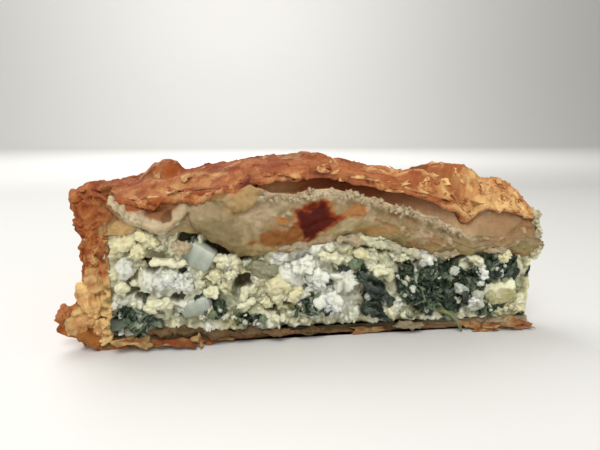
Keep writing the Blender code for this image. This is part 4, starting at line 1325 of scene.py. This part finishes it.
SPINACH_NODES = (
    # (node, face, distance, height, (width, height, depth), turn, number of leaves)
    ("spinach_clump_large", FRONT, 28.5, 11.7, (20, 12.5, 8), 10, 34),
    ("spinach_clump_upper", FRONT, 14, 16.8, (9, 4.6, 5), -14, 12),
    ("spinach_clump_small", FRONT, 61.5, 8.6, (6.5, 4, 4), -8, 7),
    ("spinach_clump_rim", FRONT, 104.6, 6.6, (9, 5, 5), 8, 12),
    ("spinach_clump_back", BACK, 37, 13.2, (17, 10, 6), -18, 26),
    ("spinach_clump_back_rim", BACK, 98, 10.4, (10, 7, 5), 20, 12),
)
LEAF_NODES = (
    # (node, face, distance, height, length, width, turn)
    ("spinach_leaf_upper", FRONT, 47.3, 12.0, 12.5, 3.6, -40),
    ("spinach_leaf_lower", FRONT, 46.2, 5.9, 9.5, 3.4, -24),
    ("spinach_leaf_back", BACK, 73, 16.6, 12, 3.4, 34),
)


def make_spinach():
    """The wads and the folded leaves, each in the place of its own solid."""
    for node, face, distance, height, size, turn, leaves in SPINACH_NODES:
        heap = Heap()
        wad(heap, face, distance, height, size, turn, np.random.default_rng(int(distance * 10)), leaves)
        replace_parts(heap.piece(node.replace("clump", "wad"), SPINACH), node)
    for node, face, distance, height, long, wide, turn in LEAF_NODES:
        draw = np.random.default_rng(int(distance * 10))
        corners, faces, crease = leaf_solid((long, wide), draw, curl=0.2, rows=34, columns=12, thick=0.5)
        bent = corners + UP * (0.2 * long * (1 - (corners[:, :1] / long * 2) ** 2))
        placed = laid(turned(bent, (0.9, -math.radians(turn), 0)), face, distance, height, 0.9, -1)
        # Lighter where the folds rise: painted light
        tint = painted(DARK_SPINACH, GREEN_SPINACH, 0.2 + crease)
        add_piece(node + "_folded", placed, faces, tint, SPINACH, (node,))


STALK = (
    # (distance, height, outward, radius) along the thin leaf that hangs over the base
    (31.0, 6.2, 1.0, 0.3),
    (28.6, 5.9, 1.6, 0.7),
    (26.4, 5.0, 2.2, 0.6),
    (24.8, 3.4, 2.4, 0.5),
    (23.8, 1.6, 2.4, 0.45),
    (23.2, 0.4, 2.5, 0.2),
)


def make_stalk():
    """The thin leaf that hangs from the spinach over the base's edge."""
    path = [on_cut(FRONT, *spot) for *spot, _ in STALK]
    corners, faces = tube_solid(path, [row[-1] for row in STALK], 10)
    corners[:, 2] = np.maximum(corners[:, 2], LOWEST)
    tint = painted(OLIVE_SPINACH, MILKY_SPINACH, 0.4 + rough(corners, 1.5, 2, 97))
    add_piece("spinach_stalk", corners, faces, tint, SPINACH)


SHRED_COUNT = 95  # on each cut
SHRED_SEED = 77


def make_shreds(face, name):
    """Small shreds of spinach in the cheese, and more of them where the spinach lies thick."""
    draw = np.random.default_rng(SHRED_SEED + face)
    heap = Heap()
    zones = SPINACH_ZONES[face]
    for number in range(SHRED_COUNT):
        if number % 3:
            x, z, long, tall = zones[number % len(zones)]
            distance, height = x + draw.uniform(-1, 1) * long, z + draw.uniform(-1, 1) * tall
        else:
            distance = mix(8, FILLING_RADIUS - 3, draw.random())
            height = mix(5, float(lid_underside(distance, face)) - 2, draw.random())
        long = draw.uniform(1.2, 3.6)
        size = (long, long * draw.uniform(0.25, 0.6))
        corners, faces, crease = leaf_solid(size, draw, rows=9, columns=6, thick=0.15)
        placed = turned(corners, draw.uniform(0, FULL_TURN, 3))
        tone = draw.random()
        tint = mix(leaf_tint(crease, tone), OLIVE_SPINACH, 0.8 if tone < 0.2 else 0)
        height = max(height, BASE_THICK + 1.5)
        heap.add(placed + on_cut(face, distance, height, draw.uniform(-0.1, 0.7)), faces, tint)
    return heap.piece(name, SPINACH)


# Onion and firm cheese

def chunk(name, node, face, distance, height, size, turn, finish, slot, tint_of, crumble):
    """A cut cube with softened corners that lies in a cut."""
    shares, faces = block_surface(CHUNK_CELLS)
    spot = shares * 2 - 1
    softened = spot * mix(1, 1 / np.maximum(np.linalg.norm(spot, axis=1), 1), 0.5)[:, None]
    long, tall, deep = size
    points = softened * np.array((long, deep, tall)) / 2
    place = points + distance
    points = points * (1 + 0.07 * noise(place, 4, 2))[:, None]
    points = points + softened * (crumble * (0.8 - grains(place, 0.9, 21)[0]))[:, None]
    lump = turned(points, (0.12, -math.radians(turn), 0.1))
    placed = laid(lump, face, distance, height, 1.1 - deep / 2, -1)
    return add_piece(name, placed, faces, tint_of(points, softened[:, 2]), finish, (node,))


def onion_tint(points, upward):
    """Faint rings, with a painted light above and an olive painted shade below."""
    rings = np.sin(points[:, 0] * 2.4 + 0.6 * noise(points, 3, 8)) * 0.5 + 0.5
    tint = painted(CLEAR_ONION, WHITE_CURD, rings * 0.12 + 0.3 * smooth(upward))
    return painted(tint, OLIVE_SHADE, smooth(-upward - 0.2) * 0.4)


def cheese_tint(points, upward):
    """A cream top, lighter still by a painted light, on sides darkened by an olive painted shade."""
    top = smooth((upward - 0.2 + 0.3 * noise(points, 1.5, 4)) / 0.2)
    tint = painted(OLIVE_SHADE * 1.35, CREAM_CURD, 0.3 + 0.4 * rough(points, 2.5, 3, 9))
    return painted(tint, CREAM_CURD * 1.15, top)


ONION_NODES = (
    # (piece, node, face, distance, height, (width, height, depth), turn)
    ("onion_piece_large", "onion_large", FRONT, 89.8, 22.0, (7.8, 6.6, 5), -32),
    ("onion_piece_small", "onion_small", FRONT, 91, 9.6, (8.0, 4.8, 4), 14),
    ("onion_piece_back", "onion_back", BACK, 62, 11, (9, 6.5, 5), 24),
)
CHEESE_NODES = (
    ("cheese_piece", "cheese_lump", FRONT, 12.2, 9.8, (9.2, 7.0, 6), 8),
    ("cheese_piece_back", "cheese_lump_back", BACK, 84, 15.5, (9.5, 8, 6), -12),
)


def make_chunks():
    """The pieces of onion and the blocks of firm cheese, each in the place of its own solid."""
    for row in ONION_NODES:
        chunk(*row, ONION, "soft_onion", onion_tint, 0.05)
    for row in CHEESE_NODES:
        chunk(*row, CHEESE, "firm_cheese", cheese_tint, 0.7)


# Loose flakes and crumbs of pastry

def flake_solid(size, draw, curl, thick):
    """A thin crumpled flake of pastry with a torn outline: its solid and how uneven each corner is."""
    long, wide = size
    s, t = grid(14, 9, -1)
    phase = draw.uniform(0, FULL_TURN, 4)
    place = spots(s * long / 2, t * wide / 2, 0) + 9 * phase[:3]
    ragged = rough(place, 1.8, 3, 5)
    torn_s = 1 + 0.18 * np.sin(3.1 * t + phase[0]) + 0.3 * ragged
    torn_t = 1 + 0.22 * np.sin(2.7 * s + phase[2]) + 0.5 * ragged
    crumple = rough(place, 1.5, 3, 6)
    lift = curl * (t * 0.5 + 0.5) ** 2 * wide * 0.6 + 0.1 * wide * np.sin(2.4 * s + phase[0]) + 0.4 * crumple
    surface = spots(s * torn_s * long * 0.5, t * torn_t * wide * 0.5, lift)
    thin = thick * (1 - 0.5 * np.maximum(np.abs(s), np.abs(t)))[..., None] * UP / 2
    corners, faces = sheet_solid(surface + thin, surface - thin)
    return corners, faces, np.tile(crumple.ravel(), 2)


def flake_tint(draw, brown):
    """The colour of one flake, from pale to dark."""
    tone = draw.random()
    tint = mix(PALE_FLAKE, GOLDEN_CRUST, min(tone * 1.6, 1))
    return mix(tint, BROWN_CRUST, max(0, min(1, brown * 1.4 + tone - 0.8)))


def frame_at(along, up):
    """The axes of a flake: along its length, across it, and its upper side."""
    along = along / np.linalg.norm(along)
    across = np.cross(up, along)
    across = across / np.linalg.norm(across)
    return np.stack((along, across, np.cross(along, across)))


BASE_FLAKES = (
    # (distance, height, outward, length, width, turn, brownness) by the foot of the front cut
    (96.5, 1.6, 2.2, 10.0, 2.6, 4, 0.75),
    (105.5, 2.2, 2.4, 8.0, 2.4, 10, 0.0),
    (90.4, 1.4, 2.4, 3.0, 2.2, 50, 0.05),
    (86.0, 1.0, 1.2, 6.0, 1.6, -6, 0.25),
    (66.0, 1.0, 1.0, 7.0, 1.6, 3, 0.1),
    (47.0, 0.8, 1.2, 9.0, 2.0, -2, 0.15),
    (20.0, 1.2, 1.2, 8.0, 2.0, 4, 0.1),
    (12.0, 1.6, 1.8, 9.0, 2.6, -5, 0.0),
    (6.5, 1.0, 1.6, 6.0, 2.2, 8, 0.3),
    (17.0, 0.5, 2.6, 7.0, 2.6, -3, 0.0),
)
RIM_FLARE = (
    # (distance, height, outward, length, width, turn) of the flakes that flare from the rim's foot
    (119.8, 4.2, -0.8, 8.4, 2.2, -50),
    (119.6, 3.2, -2.6, 7.0, 3.4, -38),
)
RIM_PUFFS = (
    # (distance, height, half length, half height, turn, colour) of the puffed folds at the rim's foot
    (116.2, 11.6, 2.9, 4.2, 10, PALE_FLAKE * 1.1),
    (118.6, 6.4, 3.4, 3.2, 30, PALE_FLAKE * 0.85),
    (121.4, 9.8, 1.8, 1.9, 0, GOLDEN_CRUST * 0.85),
    (113.4, 5.2, 2.2, 3.2, 0, PALE_FLAKE),
    (115.0, 2.4, 3.6, 1.5, -20, AMBER_DOUGH * 1.3),
    # A dimmed copy of the pale flake at the foot, a painted shade
    (109.2, 1.9, 3.4, 1.2, 8, PALE_FLAKE * 0.45),
    (114.4, 17.4, 2.2, 3.0, 0, PALE_FLAKE * 0.9),
)


# How many flakes there are along each of the lid's edges, on its top, by the tip, and round the rim
EDGE_FLAKES = 46
LID_FLAKES = 44
TIP_FLAKES = 60
ROUND_FLAKES = 110
FLAKE_SEED = 404


def make_flakes():
    """Flakes along the lid's cut edges, on its top, round the rim and at the base."""
    draw = np.random.default_rng(FLAKE_SEED)
    heap = Heap()

    def put(centre, along, up, size, curl, thick, tint):
        """Adds one flake with its length along, and its upper side up."""
        corners, faces, crumple = flake_solid(size, draw, curl, thick)
        placed = corners @ frame_at(np.array(along), np.array(up)) + centre
        placed[:, 2] += max(0, LOWEST - placed[:, 2].min())
        heap.add(placed, faces, coated(tint, (BROWN_CRUST, 0.35 - crumple), (PALE_FLAKE, crumple - 0.2)))

    for face, edge_line in ((FRONT, FRONT_EDGE), (BACK, BACK_EDGE)):
        away, out = cut_axes(face)
        for number in range(EDGE_FLAKES):
            distance = mix(6, 114, (number + draw.random()) / EDGE_FLAKES)
            inward = draw.uniform(-0.3, 2.6)
            height = float(outline(edge_line, distance)) + inward * 0.5 + draw.uniform(-0.8, 0.1)
            tilt = draw.uniform(0.3, 1.0)
            up = UP * math.cos(tilt) + out * math.sin(tilt)
            size = (draw.uniform(1.8, 5.5), draw.uniform(0.8, 2.0))
            along = away + UP * draw.uniform(-0.2, 0.2)
            put(on_cut(face, distance, height, -inward), along, up, size, draw.uniform(-0.2, 0.5), 0.24,
                flake_tint(draw, 0.5))
    for number in range(LID_FLAKES + TIP_FLAKES):
        by_tip = number >= LID_FLAKES
        distance = draw.uniform(3, 36) if by_tip else TART_RADIUS * math.sqrt(draw.uniform(0.08, 0.98))
        share = draw.uniform(0.3, 8) / (distance * SLICE_ANGLE + 8) if by_tip else draw.uniform(0.06, 0.94)
        distances = np.array((distance, distance + 1, distance))
        shares = np.array((share, share, share + 0.01))
        here, ahead, aside = in_slice(distances, shares, shell_form(distances, shares) - 0.1)
        up = np.cross(ahead - here, aside - here)
        up = up * np.sign(up[2]) / np.linalg.norm(up)
        turn = draw.uniform(0, FULL_TURN)
        along = np.cross((math.sin(turn), -math.cos(turn), 0), up)
        tint = mix(PALE_FLAKE * 1.2, GOLDEN_CRUST, draw.random()) if by_tip else flake_tint(draw, 0.7)
        size = (draw.uniform(1.2, 3.4), draw.uniform(1.0, 2.4))
        put(here, along, up, size, draw.uniform(0, 0.15), 0.2, tint)
    for number in range(ROUND_FLAKES):
        share = draw.uniform(0.02, 1)
        height = draw.uniform(1.5, 35.5)
        away, aside = cut_axes(share)  # as if the slice were cut there
        along = aside + UP * draw.uniform(-0.15, 0.15)
        reach = TART_RADIUS + float(outline(RIM_SHAPE, height)) - 0.6
        up = away + UP * draw.uniform(-0.5, 0.8)
        put(in_slice(reach, share, height), along, up, (draw.uniform(3, 10), draw.uniform(1.2, 3.4)),
            draw.uniform(-0.2, 0.6), 0.26, flake_tint(draw, 0.55))
    away, out = cut_axes(FRONT)
    for distance, height, outward, long, wide, turn in RIM_FLARE:
        turn = math.radians(turn)
        along = UP * math.sin(turn) - away * math.cos(turn)
        tint = mix(GOLDEN_CRUST, SCORCHED_DOUGH, draw.uniform(0.25, 0.85))
        put(on_cut(FRONT, distance, height, outward), along, out + 0.4 * UP, (long, wide), 0.4, 0.4, tint)
    for distance, height, outward, long, wide, turn, brown in BASE_FLAKES:
        turn = math.radians(turn)
        outward = outward + float(outline(BASE_EDGE, distance))
        along = UP * math.sin(turn) + away * math.cos(turn)
        tint = mix(PALE_FLAKE * 0.55, DARK_CRUST * 1.1, brown)
        place = on_cut(FRONT, distance, height, outward)
        put(place, along, 0.8 * UP + 0.6 * out, (long, wide), 0.3, 0.3, tint)
    return heap.piece("loose_flakes", CRUST)


TIP_CRUMB_COUNT = 60
RIDGE_CRUMB_COUNT = 150
CRUMB_SEED = 505


def make_crumbs():
    """Pale crumbs at the lid's torn tip, and clear grains along the ridge below the crack."""
    draw = np.random.default_rng(CRUMB_SEED)
    corners, faces = ball(3)
    heap = Heap()

    def put(centre, radius, tint):
        """Adds one crumb."""
        shape = curd_shape(corners, draw.uniform(0.6, 1.3, 3) * radius, draw)[0]
        heap.add(turned(shape, draw.uniform(0, FULL_TURN, 3)) + centre, faces, tint)

    for _ in range(TIP_CRUMB_COUNT):
        height = draw.uniform(19, 31)
        share = draw.uniform(0, 1)
        distance = TIP_BLUNT - TIP_CRUMBS * math.exp(-(((height - 23) / 5) ** 2)) * draw.uniform(0.3, 1.0)
        put(in_slice(max(distance, 0.4), share, height), draw.uniform(0.5, 1.3),
            mix(SOFT_DOUGH, CREAM_CURD, draw.uniform(0.2, 0.8)))
    for _ in range(RIDGE_CRUMB_COUNT):
        distance = draw.uniform(22, 76)
        height = float(outline(CRACK_FLOOR, distance)) - draw.uniform(0.2, 2.2)
        put(on_cut(FRONT, distance, height, draw.uniform(-0.1, 0.5)), draw.uniform(0.3, 0.8),
            mix(ROSY_DOUGH, PALE_DOUGH, draw.uniform(0.0, 0.8)))
    return heap.piece("pastry_crumbs", DOUGH)


# Light, floor and camera

def make_stage():
    """A pale floor that rises behind the slice in a smooth curve."""
    reach, radius = 1.5, 0.5
    turns = np.linspace(0, math.pi / 2, 24)
    ys = (-1.5, *(reach + radius * np.sin(turns)), reach + radius)
    zs = (0.0, *(radius - radius * np.cos(turns)), 2.5)
    corners = [(x, y, z) for y, z in zip(ys, zs) for x in (-3, 3)]
    faces = [(k, k + 1, k + 3, k + 2) for k in range(0, len(corners) - 2, 2)]
    mesh = bpy.data.meshes.new("floor")
    mesh.from_pydata(corners, [], faces)
    mesh.shade_smooth()
    floor = put_in_scene(bpy.data.objects.new("floor", mesh))
    finish = bpy.data.materials.new("floor_finish")
    finish.use_nodes = True
    shader = finish.node_tree.nodes["Principled BSDF"]
    set_inputs(shader, {"Base Color": (0.74, 0.73, 0.71, 1), "Roughness": 0.6})
    mesh.materials.append(finish)


def make_light(name, location, size, energy, aim=(0, 0, 0.02)):
    """A square area light that shines at a point."""
    light = bpy.data.lights.new(name, "AREA")
    light.energy = energy
    light.size = size
    light.color = (1.0, 0.99, 0.97)
    lamp = put_in_scene(bpy.data.objects.new(name, light))
    lamp.location = location
    lamp.rotation_euler = (Vector(aim) - Vector(location)).to_track_quat("-Z", "Y").to_euler()


def make_lights():
    """A window behind, two softer lights in front, and one on the backdrop."""
    make_light("window", (-0.25, 0.30, 0.60), 0.5, 3.2)
    make_light("front_high", (-0.10, -0.42, 0.52), 0.4, 2.8)
    make_light("front_low", (0.15, -0.75, 0.12), 0.5, 1.4)
    make_light("backdrop", (0.0, 0.7, 0.9), 1.0, 15.0, aim=(0, 2.0, 0.3))
    world = bpy.data.worlds.new("studio")
    world.use_nodes = True
    set_inputs(world.node_tree.nodes["Background"], {"Color": (0.85, 0.86, 0.83, 1), "Strength": 0.42})
    bpy.context.scene.world = world


CAMERA_PLACE = (-21.05, -159.65, 51.3)
LOOKS_DOWN = 10.54  # in degrees, like the turn to the right
LOOKS_RIGHT = 8


def make_camera():
    """The photograph's view, from in front of the cut and a little above it."""
    data = bpy.data.cameras.new("camera")
    data.lens = 30
    data.sensor_width = 36
    data.clip_start = 0.01
    camera = put_in_scene(bpy.data.objects.new("camera", data))
    camera.location = Vector(CAMERA_PLACE) * MM
    camera.rotation_euler = (math.radians(90 - LOOKS_DOWN), 0, math.radians(-LOOKS_RIGHT))
    bpy.context.scene.camera = camera


# The pieces, the stage and the view
make_lid_shell()
make_lid_dough()
make_tatters("dough_folds", FRONT_FOLDS, seed=31, detail=4, thick=1.7, grain=1.0, outward=1.0,
             crease=FOLD_CREASE_SHADE, finish=DOUGH)
make_rim_crust()
make_tatters("rim_puffs", RIM_PUFFS, seed=83, detail=5, thick=1.8, grain=2.0, outward=0.6,
             crease=PUFF_CREASE_SHADE, finish=CRUST)
make_case()
make_filling()
make_curds(FRONT, "curds_front")
make_curds(BACK, "curds_back")
make_speckles(FRONT, "curd_specks_front")
make_speckles(BACK, "curd_specks_back")
make_spinach()
make_stalk()
make_shreds(FRONT, "spinach_shreds_front")
make_shreds(BACK, "spinach_shreds_back")
make_chunks()
make_flakes()
make_crumbs()
make_stage()
make_lights()
make_camera()
bpy.context.scene.view_settings.view_transform = "Standard"
